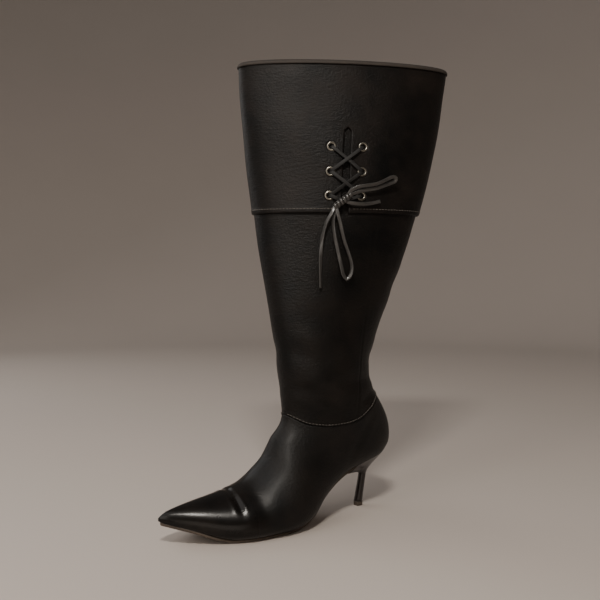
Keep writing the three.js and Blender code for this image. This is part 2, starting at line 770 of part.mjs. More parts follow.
const sliderTop = seam + sliderWall;
const pinOut = sliderTop + pinClear + pinSize / 2;
const pinDown = 1.2; // the pin hangs this far under the middle of the slider

function boxBetween([x0, y0, z0], [x1, y1, z1]) {
  const box = new THREE.BoxGeometry(x1 - x0, y1 - y0, z1 - z0);
  box.translate((x0 + x1) / 2, (y0 + y1) / 2, (z0 + z1) / 2);
  return toSolid(box);
}

function makeSlider() {
  const half = sliderLength / 2;
  const post = half - 0.4;
  const inside = post - bailWall;
  const roof = sliderTop + bailHeight;
  const body = boxBetween([-sliderWidth / 2, seam, -half], [sliderWidth / 2, sliderTop, half]);
  const bail = boxBetween([-bailWidth / 2, sliderTop - 0.5, -post], [bailWidth / 2, roof, post]);
  const window = boxBetween([-bailWidth, sliderTop, -inside], [bailWidth, roof - bailWall, inside]);
  return body.add(bail).subtract(window);
}

// Pull tab about its pin: two arms beside the bail and a plate that hangs below them
function makeTab() {
  const armInside = bailWidth / 2 + pinClear;
  const armOutside = tabWidth / 2 + 0.4;
  const pin = new THREE.CylinderGeometry(pinSize / 2, pinSize / 2, 2 * armOutside, 10);
  pin.rotateZ(Math.PI / 2);
  const arm = (side) => boxBetween(
    [Math.min(side * armInside, side * armOutside), -tabWall / 2, -armReach - 1],
    [Math.max(side * armInside, side * armOutside), tabWall / 2, 0],
  );
  const plate = boxBetween([-tabWidth / 2, -tabWall / 2, -tabLength], [tabWidth / 2, tabWall / 2, -armReach]);
  return toSolid(pin).add(arm(1)).add(arm(-1)).add(plate);
}

// Place and turn of the slider on the leather of the inner side
function sliderMatrix() {
  const height = rimZ - sliderDrop;
  const onLeather = (x, z) => {
    const half = ring(atHeight(z), 128).slice(64);
    const i = half.findIndex((p) => p.x > x);
    const t = (x - half[i - 1].x) / (half[i].x - half[i - 1].x);
    return half[i - 1].clone().lerp(half[i], t);
  };
  const here = onLeather(zipX(height), height);
  const along = onLeather(here.x - 2, height).sub(onLeather(here.x + 2, height)).normalize();
  const up = onLeather(zipX(height + 4), height + 4).sub(onLeather(zipX(height - 4), height - 4)).normalize();
  const out = new THREE.Vector3().crossVectors(up, along).normalize();
  along.crossVectors(out, up);
  return new THREE.Matrix4().makeBasis(along, out, up).setPosition(here);
}

// Lower edge of the upper in plan, from the toe to the heel on the outer and the inner side
function lowerEdge() {
  const sides = 128;
  const edges = { outer: [], inner: [] };
  const order = {
    outer: (i) => i,
    inner: (i) => (sides - i) % sides,
  };
  for (let at = 1; at < STATIONS[FOOT_ROWS.length]; at += 2.5) {
    const points = ring(at, sides);
    for (const side of ['outer', 'inner']) {
      for (let i = 0; i < sides / 2; i += 1) {
        const above = points[order[side](i)];
        const below = points[order[side](i + 1)];
        const a = above.z - soleLine(above.x);
        const b = below.z - soleLine(below.x);
        if (a >= 0 && b < 0) {
          edges[side].push(above.clone().lerp(below, a / (a - b)));
          break;
        }
      }
    }
  }
  return edges;
}

const EDGE = lowerEdge();

// How far the upper's lower edge is from the x axis at a place
function edgeY(side, x) {
  const points = EDGE[side];
  const i = Math.max(1, points.findIndex((p) => p.x < x));
  const a = points[i - 1];
  const b = points[i];
  return THREE.MathUtils.lerp(a.y, b.y, THREE.MathUtils.clamp((a.x - x) / (a.x - b.x), 0, 1));
}

// Plate that follows the sole line: its outline is the upper's lower edge less an inset
function bottomPlate({ from, to, inset, low, high, round }) {
  const rings = sharedPlaces(from, to).map((x) => {
    const outer = edgeY('outer', x) - inset;
    const inner = edgeY('inner', x) + inset;
    const edge = Math.min(round, (outer - inner) / 5);
    const bottom = low(x);
    const top = high(x);
    return [
      new THREE.Vector3(x, outer, top),
      new THREE.Vector3(x, inner, top),
      new THREE.Vector3(x, inner, bottom + edge * 0.7),
      new THREE.Vector3(x, inner + edge, bottom),
      new THREE.Vector3(x, outer - edge, bottom),
      new THREE.Vector3(x, outer, bottom + edge * 0.7),
    ];
  });
  return toSolid(loft(rings));
}

const soleInset = 0.5;

function makeOutsole() {
  return bottomPlate({
    from: breastPlace,
    to: footLength * 0.988,
    inset: soleInset,
    low: soleUnderside,
    high: (x) => soleLine(x) - seam,
    round: 1.2,
  });
}

const insoleEnds = 22; // the insole stops this far short of the toe tip

function makeInsole() {
  const plate = bottomPlate({
    from: 2,
    to: footLength - insoleEnds,
    inset: soleInset,
    low: soleLine,
    high: (x) => soleLine(x) + insoleThickness,
    round: 0.8,
  });
  return plate.intersect(form(-upperWall - seam, toeWall, lastPlace));
}

// Covered heel: a round stem that flares into the seat under the counter
const stemTop = 33;
const stemLean = 5.5; // how far the top of the stem lies behind the top piece
const HEEL_SIDES = 28;

function seatOutline() {
  const corner = (side) => new THREE.Vector3(breastPlace - seam, edgeY(side, breastPlace), 0);
  const pick = (side) => EDGE[side].filter((p) => p.x < breastPlace - 1);
  const around = [corner('outer'), ...pick('outer'), ...pick('inner').reverse(), corner('inner')];
  const loop = new THREE.CatmullRomCurve3(around.map((p) => new THREE.Vector3(p.x, p.y, 0)), false, 'centripetal');
  const round = Array.from({ length: HEEL_SIDES - 3 }, (_, i) => loop.getPointAt(i / (HEEL_SIDES - 4)));
  const [first, last] = [round[0], round.at(-1)];
  const front = [0.25, 0.5, 0.75].map((t) => last.clone().lerp(first, t));
  return [...round, ...front];
}

function makeHeel() {
  const seat = seatOutline();
  const insideSeat = seat.map((p) => {
    const pull = new THREE.Vector3(heelSet - p.x, -p.y, 0).setLength(soleInset);
    return p.clone().add(pull);
  });
  const circle = (radius, x, z) => insideSeat.map((p) => {
    const angle = Math.atan2(p.y, p.x - heelSet);
    return new THREE.Vector3(x + radius * Math.cos(angle), radius * Math.sin(angle), z);
  });
  const rings = [];
  const stemSteps = 4;
  const bottom = topPieceHeight + seam;
  for (let i = 0; i <= stemSteps; i += 1) {
    const t = i / stemSteps;
    const radius = THREE.MathUtils.lerp(tipSize - 0.4, stemSize, Math.min(1, 1.6 * t)) / 2;
    rings.push(circle(radius, heelSet - stemLean * t, THREE.MathUtils.lerp(bottom, stemTop, t)));
  }
  const stem = rings.at(-1);
  const flareSteps = 8;
  for (let i = 1; i <= flareSteps; i += 1) {
    const t = i / flareSteps;
    rings.push(
      insideSeat.map((p, k) => {
        const forward = THREE.MathUtils.smoothstep(p.x, heelSet - 10, breastPlace);
        const power = THREE.MathUtils.lerp(1.5, 2.6, forward);
        const spread = THREE.MathUtils.lerp(t ** power, THREE.MathUtils.smoothstep(t, 0, 1), 0.35);
        const point = stem[k].clone().lerp(p, spread);
        point.z = THREE.MathUtils.lerp(stemTop, soleLine(p.x) - seam, t);
        return point;
      }),
    );
  }
  return toSolid(loft(rings));
}

function topPieceGeometry() {
  const geometry = new THREE.CylinderGeometry(tipSize / 2, tipSize / 2, topPieceHeight, 20);
  geometry.rotateX(Math.PI / 2);
  geometry.translate(heelSet, 0, topPieceHeight / 2);
  return geometry;
}

// Materials
const material = (color, roughness, metalness = 0) => new THREE.MeshStandardMaterial({ color, roughness, metalness });
const blackLeather = material(0x1b1917, 0.45);
const cuffLeather = material(0x1e1b19, 0.5);
const heelCover = material(0x201713, 0.35);
const soleRubber = material(0x1a1512, 0.7);
const lining = material(0x8a7a66, 0.9);
const tapeCloth = material(0x141414, 0.95);
const chainNylon = material(0x1a1a1a, 0.5);
const darkMetal = material(0x5c5750, 0.35, 0.9);
const laceLeather = material(0x1d1b1a, 0.6);

const boot = new THREE.Group();

function addPiece(name, geometry, look, parent = boot) {
  const mesh = new THREE.Mesh(geometry, look);
  mesh.name = name;
  parent.add(mesh);
  return mesh;
}

addPiece('upper', toGeometry(makeUpper()), blackLeather);
addPiece('shaft', toGeometry(makeShaft()), blackLeather);
addPiece('cuff', toGeometry(makeCuff()), cuffLeather);
addPiece('outsole', toGeometry(makeOutsole()), soleRubber);
addPiece('insole', toGeometry(makeInsole()), lining);
addPiece('heel', toGeometry(makeHeel()), heelCover);
addPiece('heel_top_piece', topPieceGeometry(), soleRubber);
addPiece('zip_tape', toGeometry(makeTape()), tapeCloth);
addPiece('zip_chain', toGeometry(makeChain()), chainNylon);

const cuffParts = cuffGroup();
boot.add(cuffParts);
for (const place of eyeletPlaces) {
  const eyelet = addPiece(place.name, eyeletGeometry(), darkMetal, cuffParts);
  eyelet.quaternion.setFromRotationMatrix(leatherTurn(place.along, place.z));
  eyelet.position.copy(overLeather(place.along, place.z, cuffFace + seam));
}
addPiece('lace_crossings', toGeometry(makeCrossings()), laceLeather, cuffParts);
addPiece('lace_knot', knotGeometry(), laceLeather, cuffParts);
for (const [name, points] of Object.entries(LACE_ROUTES)) {
  addPiece(name, laceTube(points), laceLeather, cuffParts);
}

const zipParts = new THREE.Group();
zipParts.applyMatrix4(sliderMatrix());
boot.add(zipParts);
addPiece('zip_slider', toGeometry(makeSlider()), darkMetal, zipParts);
addPiece('zip_pull_tab', toGeometry(makeTab()), darkMetal, zipParts).position.set(0, pinOut, -pinDown);

// The origin is on the floor, under the middle of the boot without its lace ends
const cords = ['lace_knot', ...Object.keys(LACE_ROUTES)];
const box = new THREE.Box3();
boot.updateMatrixWorld(true);
boot.traverse((piece) => {
  if (piece.isMesh && !cords.includes(piece.name)) {
    box.expandByObject(piece, true);
  }
});
const middle = box.getCenter(new THREE.Vector3());
boot.position.set(-middle.x, -middle.y, 0);

export default boot;
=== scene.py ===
"""Looks of a left knee-high boot: grained leather, laced cuff, side zip and covered heel, on a pale floor.

Lengths in the classes are millimetres: x from the back of the counter to the toe, y to the outer side
of the left foot, z up. They are turned into metres of the CAD frame where a mesh is made.
"""

import logging
import math
from collections.abc import Iterable, Iterator
from contextlib import contextmanager
from dataclasses import dataclass, field
from enum import Enum

import bmesh
import bpy
import numpy as np
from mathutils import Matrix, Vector
from mathutils.bvhtree import BVHTree


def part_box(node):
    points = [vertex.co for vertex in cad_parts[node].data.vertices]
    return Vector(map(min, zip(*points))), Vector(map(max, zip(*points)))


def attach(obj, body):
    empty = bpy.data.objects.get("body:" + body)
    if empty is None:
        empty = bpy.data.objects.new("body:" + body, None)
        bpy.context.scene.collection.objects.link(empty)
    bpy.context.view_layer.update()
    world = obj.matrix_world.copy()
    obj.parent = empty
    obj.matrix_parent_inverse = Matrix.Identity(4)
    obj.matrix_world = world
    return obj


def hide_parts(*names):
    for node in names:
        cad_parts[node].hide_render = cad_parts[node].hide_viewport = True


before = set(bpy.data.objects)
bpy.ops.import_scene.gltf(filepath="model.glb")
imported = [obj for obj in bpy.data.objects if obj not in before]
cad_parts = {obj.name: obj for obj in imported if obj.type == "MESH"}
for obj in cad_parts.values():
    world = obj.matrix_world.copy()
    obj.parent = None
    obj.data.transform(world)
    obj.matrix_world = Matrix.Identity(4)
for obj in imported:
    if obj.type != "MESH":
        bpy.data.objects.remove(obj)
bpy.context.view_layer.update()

LOG = logging.getLogger("boot")
MM = 0.001
HEEL_AXIS = 36.0  # middle of the heel's top piece, forward of the back of the counter
SIDE_SEAM_X = 61.0  # place of the shaft's outer seam at the ankle
SIDE_SEAM_SET_BACK = 27.0  # how far back it has gone at the rim

# Sections of the foot. Shares: x of the foot's length, lift of the heel's height, rise of the ankle's
# height, outer and inner of the width at the ball. wide, top and bottom shape the curve from base to ridge.
FOOT_COLUMNS = (
    "ridge_x", "ridge_lift", "ridge_rise", "base_x", "base_lift", "base_rise",
    "outer", "inner", "wide", "top", "bottom",
)
FOOT_ROWS = (
    (0.998, 0, 0.045, 0.998, 0, 0.005, 0.012, 0.012, 0.5, 2, 2),
    (0.976, 0, 0.12, 0.974, 0, -0.05, 0.075, 0.072, 0.36, 1.8, 2.2),
    (0.9, 0, 0.255, 0.896, 0, -0.06, 0.225, 0.205, 0.32, 1.75, 2.5),
    (0.805, 0, 0.42, 0.8, 0, -0.06, 0.39, 0.355, 0.3, 1.7, 2.6),
    (0.7165, 0, 0.508, 0.706, 0, -0.06, 0.5, 0.45, 0.3, 1.7, 2.6),
    (0.659, 0, 0.58, 0.618, 0, -0.06, 0.53, 0.47, 0.3, 1.75, 2.6),
    (0.615, 0.1, 0.632, 0.528, 0, -0.06, 0.56, 0.445, 0.32, 1.8, 2.6),
    (0.584, 0.25, 0.616, 0.436, 0, -0.08, 0.545, 0.405, 0.36, 1.85, 2.6),
    (0.565, 0.4, 0.6, 0.345, 0, -0.08, 0.472, 0.375, 0.4, 1.9, 2.6),
    (0.546, 0.6, 0.559, 0.23, 0, -0.08, 0.405, 0.37, 0.44, 1.95, 2.6),
    (0.519, 0.75, 0.543, 0.088, 0, -0.08, 0.4, 0.375, 0.46, 2, 2.6),
    (0.503, 0.9, 0.527, 0.018, 0, -0.02, 0.395, 0.38, 0.47, 2, 2.5),
    (0.498, 1, 0.555, 0.005, 0, 0.2, 0.4, 0.39, 0.48, 2, 2.4),
    (0.499, 1, 0.662, 0.018, 0, 0.4, 0.42, 0.41, 0.49, 2, 2.3),
    (0.501, 1, 0.772, 0.05, 0, 0.61, 0.438, 0.43, 0.5, 2, 2.2),
    (0.504, 1, 0.87, 0.088, 0, 0.81, 0.45, 0.448, 0.5, 2, 2.1),
)
# Sections of the shaft: up is a share of its height. Length, width, set-back and turn go from the ankle's
# value at 0 to the rim's at 1.
SHAFT_ROWS = (
    (0, 0, 0, 0, 0),
    (0.06, 0.03, 0, 0.02, 0.06),
    (0.18, 0.18, -0.1, 0.15, 0.3),
    (0.3, 0.335, -0.25, 0.3, 0.62),
    (0.42, 0.49, -0.35, 0.46, 0.84),
    (0.54, 0.63, -0.35, 0.62, 0.96),
    (0.66, 0.76, -0.1, 0.76, 1),
    (0.8, 0.88, 0.3, 0.88, 1),
    (0.92, 0.96, 0.75, 0.96, 1),
    (1, 1, 1, 1, 1),
    (1.06, 1, 1, 1, 1),
)
# Underside of the sole: share of the foot's length, of the heel's height and of the toe's spring
SOLE_ROWS = (
    (-0.1, 1.03, 0), (0, 0.955, 0), (0.14, 0.85, 0), (0.26, 0.69, 0), (0.32, 0.57, 0), (0.38, 0.36, 0),
    (0.43, 0.16, 0), (0.475, 0.03, 0), (0.51, 0, 0), (0.75, 0, 0), (0.82, 0, 0.2), (0.9, 0, 0.6), (1, 0, 1),
    (1.1, 0, 1.35),
)
# Upper edge of the foot part in the side view: share of the foot's length, and share of the ankle's height
# over the heel
ANKLE_ROWS = (
    (-0.2, 0.76), (0.06, 0.75), (0.12, 0.7), (0.18, 0.57), (0.24, 0.46), (0.29, 0.425), (0.35, 0.415),
    (0.43, 0.445), (0.5, 0.56), (0.54, 0.66), (0.8, 1.2),
)


class Side(Enum):
    """Which side of the boot a fold or a seam lies on."""

    OUTER = 1
    INNER = -1
    BOTH = 0


def shared_slope(places: np.ndarray, values: np.ndarray, at: np.ndarray) -> np.ndarray:
    """Cubic curve through all values, with the slope of the line between the two neighbours at each.

    Args:
        places: increasing places of the values.
        values: the values.
        at: where the curve is read.

    Returns:
        The curve's value at each place of at.
    """
    last = len(places) - 1
    before = np.maximum(np.arange(last + 1) - 1, 0)
    after = np.minimum(np.arange(last + 1) + 1, last)
    slopes = (values[after] - values[before]) / (places[after] - places[before])
    return hermite(places, values, slopes, at)


def no_overshoot(places: np.ndarray, values: np.ndarray, at: np.ndarray) -> np.ndarray:
    """Cubic curve that stays between its values: its slopes are harmonic means of the slopes beside them.

    Args:
        places: increasing places of the values.
        values: the values.
        at: where the curve is read.

    Returns:
        The curve's value at each place of at.
    """
    steps = np.diff(values) / np.diff(places)
    product = steps[:-1] * steps[1:]
    total = np.where(product > 0, steps[:-1] + steps[1:], 1.0)
    slopes = np.concatenate(([0.0], np.where(product > 0, 2 * product / total, 0.0), [0.0]))
    return hermite(places, values, slopes, at)


def hermite(places: np.ndarray, values: np.ndarray, slopes: np.ndarray, at: np.ndarray) -> np.ndarray:
    """Cubic pieces with the given values and slopes at their ends.

    Args:
        places: increasing places of the values.
        values: the values.
        slopes: the slope at each place.
        at: where the curve is read.

    Returns:
        The curve's value at each place of at.
    """
    at = np.asarray(at, float)
    i = np.clip(np.searchsorted(places, at, side="left") - 1, 0, len(places) - 2)
    span = places[i + 1] - places[i]
    t = np.clip((at - places[i]) / span, 0, 1)
    blend = t * t * (3 - 2 * t)
    bend = span * t * (1 - t) * (slopes[i] * (1 - t) - slopes[i + 1] * t)
    return values[i] * (1 - blend) + values[i + 1] * blend + bend


def smooth_step(low: float, high: float, value: np.ndarray) -> np.ndarray:
    """0 below low, 1 above high, and a smooth S between them."""
    t = np.clip((value - low) / (high - low), 0, 1)
    return t * t * (3 - 2 * t)


def unit(vectors: np.ndarray) -> np.ndarray:
    """The vectors along the last axis, each divided by its length."""
    return vectors / np.maximum(np.linalg.norm(vectors, axis=-1, keepdims=True), 1e-9)


def lengths(curve: np.ndarray) -> np.ndarray:
    """Distance along a curve at each of its points."""
    return np.concatenate(([0.0], np.cumsum(np.linalg.norm(np.diff(curve, axis=0), axis=1))))


def read_curve(at: np.ndarray, measure: np.ndarray, curve: np.ndarray) -> np.ndarray:
    """Points of a curve where a measure that grows along it has the given values."""
    return np.stack([np.interp(at, measure, column) for column in curve.T], axis=1)


def respace(curve: np.ndarray, count: int, crowding: float = 0.35) -> np.ndarray:
    """Points along an open curve, evenly spaced by a mix of its length and of its own samples.

    Args:
        curve: samples of the curve, one row each.
        count: number of points wanted.
        crowding: share of the spacing that follows the samples.

    Returns:
        The new points, one row each.
    """
    length = lengths(curve)
    measure = (1 - crowding) * length / length[-1] + crowding * np.linspace(0, 1, len(curve))
    return read_curve(np.linspace(0, 1, count), measure, curve)


@dataclass
class BootForm:
    """The boot's outer surface: sections between a ridge and a base line, carried from toe to rim."""

    foot_length: float = 261.0
    ball_width: float = 79.0
    heel_height: float = 62.0
    ankle_height: float = 82.0
    toe_spring: float = 19.5
    toe_shift: float = 9.0
    bend_start: float = 0.45  # share of the foot's length where its middle line starts to bend
    shaft_height: float = 315.0
    rim_length: float = 215.0
    rim_width: float = 58.0
    ankle_length: float = 103.0
    ankle_width: float = 72.0
    rim_set_back: float = 31.0
    rim_lean: float = 8.0
    shaft_twist: float = 26.0
    ankle_middle: float = 81.0
    sole_thickness: float = 3.0
    stations: np.ndarray = field(init=False)
    columns: dict[str, np.ndarray] = field(init=False)

    def __post_init__(self) -> None:
        """Works out every section in millimetres and its distance along the boot."""
        foot = dict(zip(FOOT_COLUMNS, np.array(FOOT_ROWS, float).T))
        up, length, width, back, turn = np.array(SHAFT_ROWS, float).T
        ridge_x = foot["ridge_x"] * self.foot_length
        base_x = foot["base_x"] * self.foot_length
        half = (self.ankle_length + (self.rim_length - self.ankle_length) * length) / 2
        side = (self.ankle_width + (self.rim_width - self.ankle_width) * width) / 2
        middle_x = self.ankle_middle - back * self.rim_set_back
        height = self.heel_height + self.ankle_height + up * self.shaft_height
        plain = np.ones_like(up)
        lifts = self.heel_height * foot["ridge_lift"] + self.ankle_height * foot["ridge_rise"]
        drops = self.heel_height * foot["base_lift"] + self.ankle_height * foot["base_rise"]
        self.columns = {
            "ridge_x": np.concatenate((ridge_x, middle_x + half)),
            "ridge_z": np.concatenate((self.sole_edge(ridge_x) + lifts, height)),
            "base_x": np.concatenate((base_x, middle_x - half)),
            "base_z": np.concatenate((self.sole_edge(base_x) + drops, height)),
            "middle": np.concatenate((self.centre_line(ridge_x), -back * self.rim_lean)),
            "outer": np.concatenate((foot["outer"] * self.ball_width, side)),
            "inner": np.concatenate((foot["inner"] * self.ball_width, side)),
            "wide": np.concatenate((foot["wide"], 0.5 * plain)),
            "top": np.concatenate((foot["top"], 2 * plain)),
            "bottom": np.concatenate((foot["bottom"], 2 * plain)),
            "turn": np.concatenate((0 * ridge_x, turn * self.shaft_twist)),
        }
        c = self.columns
        ridge = np.hypot(np.diff(c["ridge_x"]), np.diff(c["ridge_z"]))
        base = np.hypot(np.diff(c["base_x"]), np.diff(c["base_z"]))
        self.stations = np.concatenate(([0.0], np.cumsum((ridge + base) / 2)))

    @property
    def rim_z(self) -> float:
        """Height of the rim."""
        return self.heel_height + self.ankle_height + self.shaft_height

    @property
    def ankle_station(self) -> float:
        """Place along the boot of its narrowest ring."""
        return float(self.stations[len(FOOT_ROWS)])

    def sole_underside(self, x: np.ndarray) -> np.ndarray:
        """Height of the sole's underside at each x."""
        place, lift, spring = np.array(SOLE_ROWS, float).T
        return no_overshoot(place * self.foot_length, lift * self.heel_height + spring * self.toe_spring, x)

    def sole_edge(self, x: np.ndarray) -> np.ndarray:
        """Height of the upper's lower edge at each x."""
        return self.sole_underside(x) + self.sole_thickness

    def ankle_seam(self, x: np.ndarray) -> np.ndarray:
        """Height of the seam between foot and shaft at each x."""
        place, up = np.array(ANKLE_ROWS, float).T
        return no_overshoot(place * self.foot_length, self.heel_height + up * self.ankle_height, x)

    def centre_line(self, x: np.ndarray) -> np.ndarray:
        """Middle of the foot in plan, which bends to the inner side toward the toe."""
        beyond = np.maximum(0, np.asarray(x) / self.foot_length - self.bend_start)
        return -self.toe_shift * (beyond / (1 - self.bend_start)) ** 2

    def read(self, name: str, at: np.ndarray) -> np.ndarray:
        """One named value of the sections at places along the boot."""
        return shared_slope(self.stations, self.columns[name], at)

    def station_at_height(self, z: float) -> float:
        """Place along the shaft of the ring at a height."""
        at = np.linspace(self.ankle_station, self.stations[-1], 400)
        return float(np.interp(z, self.read("ridge_z", at), at))

    def rings(self, at: np.ndarray, half_samples: int = 200) -> np.ndarray:
        """Whole sections, from the base up the outer side to the ridge and down the inner side.

        A half is a superellipse: the share between base and ridge goes with the cosine of an angle, and the
        distance sideways with its sine, both raised to 2 over the fullness. The shaft's rings then turn
        about their middle.

        Args:
            at: places along the boot.
            half_samples: steps in half a section.

        Returns:
            Points of shape (places, 2 half_samples + 1, 3).
        """
        signed = np.linspace(-1, 1, 2 * half_samples + 1)[None, :]
        angle = np.abs(signed) * math.pi
        v = {name: self.read(name, at)[:, None] for name in self.columns}
        full = np.where(angle < math.pi / 2, v["top"], v["bottom"])
        reach = np.abs(np.sin(angle)) ** (2 / full)
        climb = np.sign(np.cos(angle)) * np.abs(np.cos(angle)) ** (2 / full)
        share = v["wide"] + np.where(climb > 0, 1 - v["wide"], v["wide"]) * climb
        y = np.where(signed < 0, v["outer"], -v["inner"]) * reach
        x = (share - 0.5) * (v["ridge_x"] - v["base_x"])
        turn = np.radians(-v["turn"])
        return np.stack(
            (
                (v["ridge_x"] + v["base_x"]) / 2 + x * np.cos(turn) - y * np.sin(turn),
                v["middle"] + x * np.sin(turn) + y * np.cos(turn),
                v["base_z"] + share * (v["ridge_z"] - v["base_z"]) + 0 * y,
            ),
            axis=2,
        )


def grid_normals(points: np.ndarray) -> np.ndarray:
    """Outward normals of a grid over the boot.

    Its rows run up the boot and its columns from the outer to the inner side. The normals are the cross
    product of the row and column steps. Where the first and last column meet, both take the mean.

    Args:
        points: grid of shape (rows, columns, 3).

    Returns:
        Unit vectors of the same shape.
    """
    normals = unit(np.cross(np.gradient(points, axis=0), np.gradient(points, axis=1)))
    closed = np.linalg.norm(points[:, 0] - points[:, -1], axis=1) < 1e-3
    mean = unit(normals[:, 0] + normals[:, -1])
    normals[closed, 0] = mean[closed]
    normals[closed, -1] = mean[closed]
    return normals


@dataclass(frozen=True)
class Placing:
    """Shift from the classes' millimetres to the CAD frame's metres."""

    shift: tuple[float, float, float]

    def row(self, points: np.ndarray) -> np.ndarray:
        """Points in metres of the CAD frame."""
        return (np.asarray(points, float) + np.array(self.shift)) * MM

    @staticmethod
    def from_heel() -> "Placing":
        """Reads the shift off the heel's top piece, whose middle is the heel's axis."""
        low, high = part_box("heel_top_piece")
        middle = (low + high) / 2 / MM
        return Placing((middle.x - HEEL_AXIS, middle.y, 0.0))


def grid_quads(rows: int, columns: int, start: int = 0, wrap: bool = False) -> np.ndarray:
    """Corner numbers of the faces of a grid whose points are stored row by row.

    Args:
        rows: rows of points.
        columns: points in a row.
        start: number of the first point.
        wrap: whether the last column joins the first.

    Returns:
        Array of shape (faces, 4).
    """
    r = np.arange(rows - 1)[:, None]
    c = np.arange(columns if wrap else columns - 1)[None, :]
    after = (c + 1) % columns
    corners = (r * columns + c, (r + 1) * columns + c, (r + 1) * columns + after, r * columns + after)
    return start + np.stack([np.broadcast_to(k, (rows - 1, c.size)).ravel() for k in corners], axis=1)


@contextmanager
def editing(mesh: bpy.types.Mesh) -> Iterator[bmesh.types.BMesh]:
    """Opens a mesh for changes and writes them back."""
    work = bmesh.new()
    work.from_mesh(mesh)
    yield work
    work.to_mesh(mesh)
    work.free()


def new_piece(
    name: str, points: np.ndarray, faces: Iterable, finish: bpy.types.Material | None = None,
    weld: float = 0.0, smooth: bool = True, turn_out: bool = False,
) -> bpy.types.Object:
    """Object with a mesh of the given points and faces, in metres of the CAD frame.

    Args:
        name: name of the piece.
        points: points in metres.
        faces: corner numbers of each face.
        finish: material.
        weld: distance under which points are merged, in metres, or 0.
        smooth: whether the shading is smooth.
        turn_out: whether the faces of a closed mesh are turned outward.

    Returns:
        The linked object.
    """
    mesh = bpy.data.meshes.new(name)
    mesh.from_pydata(np.asarray(points).reshape(-1, 3).tolist(), [], [list(f) for f in faces])
    if weld > 0:
        with editing(mesh) as work:
            bmesh.ops.remove_doubles(work, verts=work.verts, dist=weld)
            bmesh.ops.dissolve_degenerate(work, edges=work.edges, dist=weld / 10)
    mesh.polygons.foreach_set("use_smooth", [smooth] * len(mesh.polygons))
    mesh.update()
    if turn_out:
        with editing(mesh) as work:
            bmesh.ops.recalc_face_normals(work, faces=work.faces)
    if finish:
        mesh.materials.append(finish)
    piece = bpy.data.objects.new(name, mesh)
    bpy.context.scene.collection.objects.link(piece)
    return piece


def closed_tube(rings: np.ndarray) -> tuple[np.ndarray, list]:
    """Points and outward faces of a tube through closed rings, with a fan at each end.

    The rings run anticlockwise when seen against the direction of travel.

    Args:
        rings: points of shape (rings, sides, 3).

    Returns:
        The points and the faces.
    """
    count, sides = rings.shape[:2]
    points = np.concatenate((rings.reshape(-1, 3), rings[[0, -1]].mean(axis=1)))
    quads = grid_quads(count, sides, wrap=True)[:, ::-1]
    i = np.arange(sides)
    j = (i + 1) % sides
    first = np.stack((j, i, np.full(sides, count * sides)), axis=1)
    last = (count - 1) * sides + i
    end = np.stack((last, (count - 1) * sides + j, np.full(sides, count * sides + 1)), axis=1)
    return points, [*quads.tolist(), *first.tolist(), *end.tolist()]


def closed_tubes(tubes: Iterable[np.ndarray]) -> tuple[np.ndarray, list]:
    """Points and faces of several tubes together.

    Args:
        tubes: the rings of each tube.

    Returns:
        The points and the faces.
    """
    points = []
    faces = []
    count = 0
    for rings in tubes:
        added, corners = closed_tube(rings)
        points.append(added)
        faces += [[count + k for k in face] for face in corners]
        count += len(added)
    return np.concatenate(points), faces


def ovals(path: np.ndarray, wide: np.ndarray, deep: np.ndarray, u: np.ndarray, v: np.ndarray) -> np.ndarray:
    """The same closed section at each point of a path.

    Args:
        path: points of the path.
        wide: direction of the section's width at each point.
        deep: direction of its depth.
        u: the section's points along its width.
        v: the section's points along its depth.

    Returns:
        Points of shape (points of the path, points of the section, 3).
    """
    return path[:, None] + u[None, :, None] * wide[:, None] + v[None, :, None] * deep[:, None]


@dataclass(frozen=True)
class Spindle:
    """Short six-sided body.

    It has five rings: their places along it, their radii, and how far each lies off the middle.
    """

    places: np.ndarray
    radii: np.ndarray
    lifts: np.ndarray = field(default_factory=lambda: np.zeros(5))

    def at(self, middle: np.ndarray, along: np.ndarray, across: np.ndarray, out: np.ndarray) -> np.ndarray:
        """Rings of one spindle at each middle.

        Args:
            middle: middles, one row each.
            along: direction of each spindle.
            across: direction at right angles to it.
            out: third direction, which the lifts follow.

        Returns:
            Points of shape (spindles, rings, 6, 3).
        """
        angle = np.arange(6) * math.pi / 3
        around = ovals(0 * middle, across, out, np.cos(angle), np.sin(angle))
        return (
            middle[:, None, None]
            + self.places[None, :, None, None] * along[:, None, None]
            + self.lifts[None, :, None, None] * out[:, None, None]
            + self.radii[None, :, None, None] * around[:, None]
        )


def apply_modifiers(piece: bpy.types.Object) -> None:
    """Replaces the piece's mesh by what its modifiers make of it."""
    graph = bpy.context.evaluated_depsgraph_get()
    made = bpy.data.meshes.new_from_object(piece.evaluated_get(graph), depsgraph=graph)
    piece.modifiers.clear()
    piece.data = made


def add_node(
    tree: bpy.types.NodeTree, kind: str, settings: dict | None = None, links: dict | None = None,
) -> bpy.types.Node:
    """Adds a node, sets its properties and sockets, and links its inputs.

    Args:
        tree: node tree.
        kind: node type, without its common first word.
        settings: values by property name, or by socket name or number.
        links: output sockets by input name or number.

    Returns:
        The node.
    """
    node = tree.nodes.new(f"ShaderNode{kind}")
    for key, value in (settings or {}).items():
        if isinstance(key, str) and hasattr(node, key):
            setattr(node, key, value)
        else:
            node.inputs[key].default_value = value
    for key, socket in (links or {}).items():
        tree.links.new(socket, node.inputs[key])
    return node


def linear(code: str) -> tuple[float, float, float, float]:
    """Linear colour of an sRGB hex code, opaque."""
    parts = [int(code[i : i + 2], 16) / 255 for i in (0, 2, 4)]
    r, g, b = [p / 12.92 if p <= 0.04045 else ((p + 0.055) / 1.055) ** 2.4 for p in parts]
    return r, g, b, 1.0


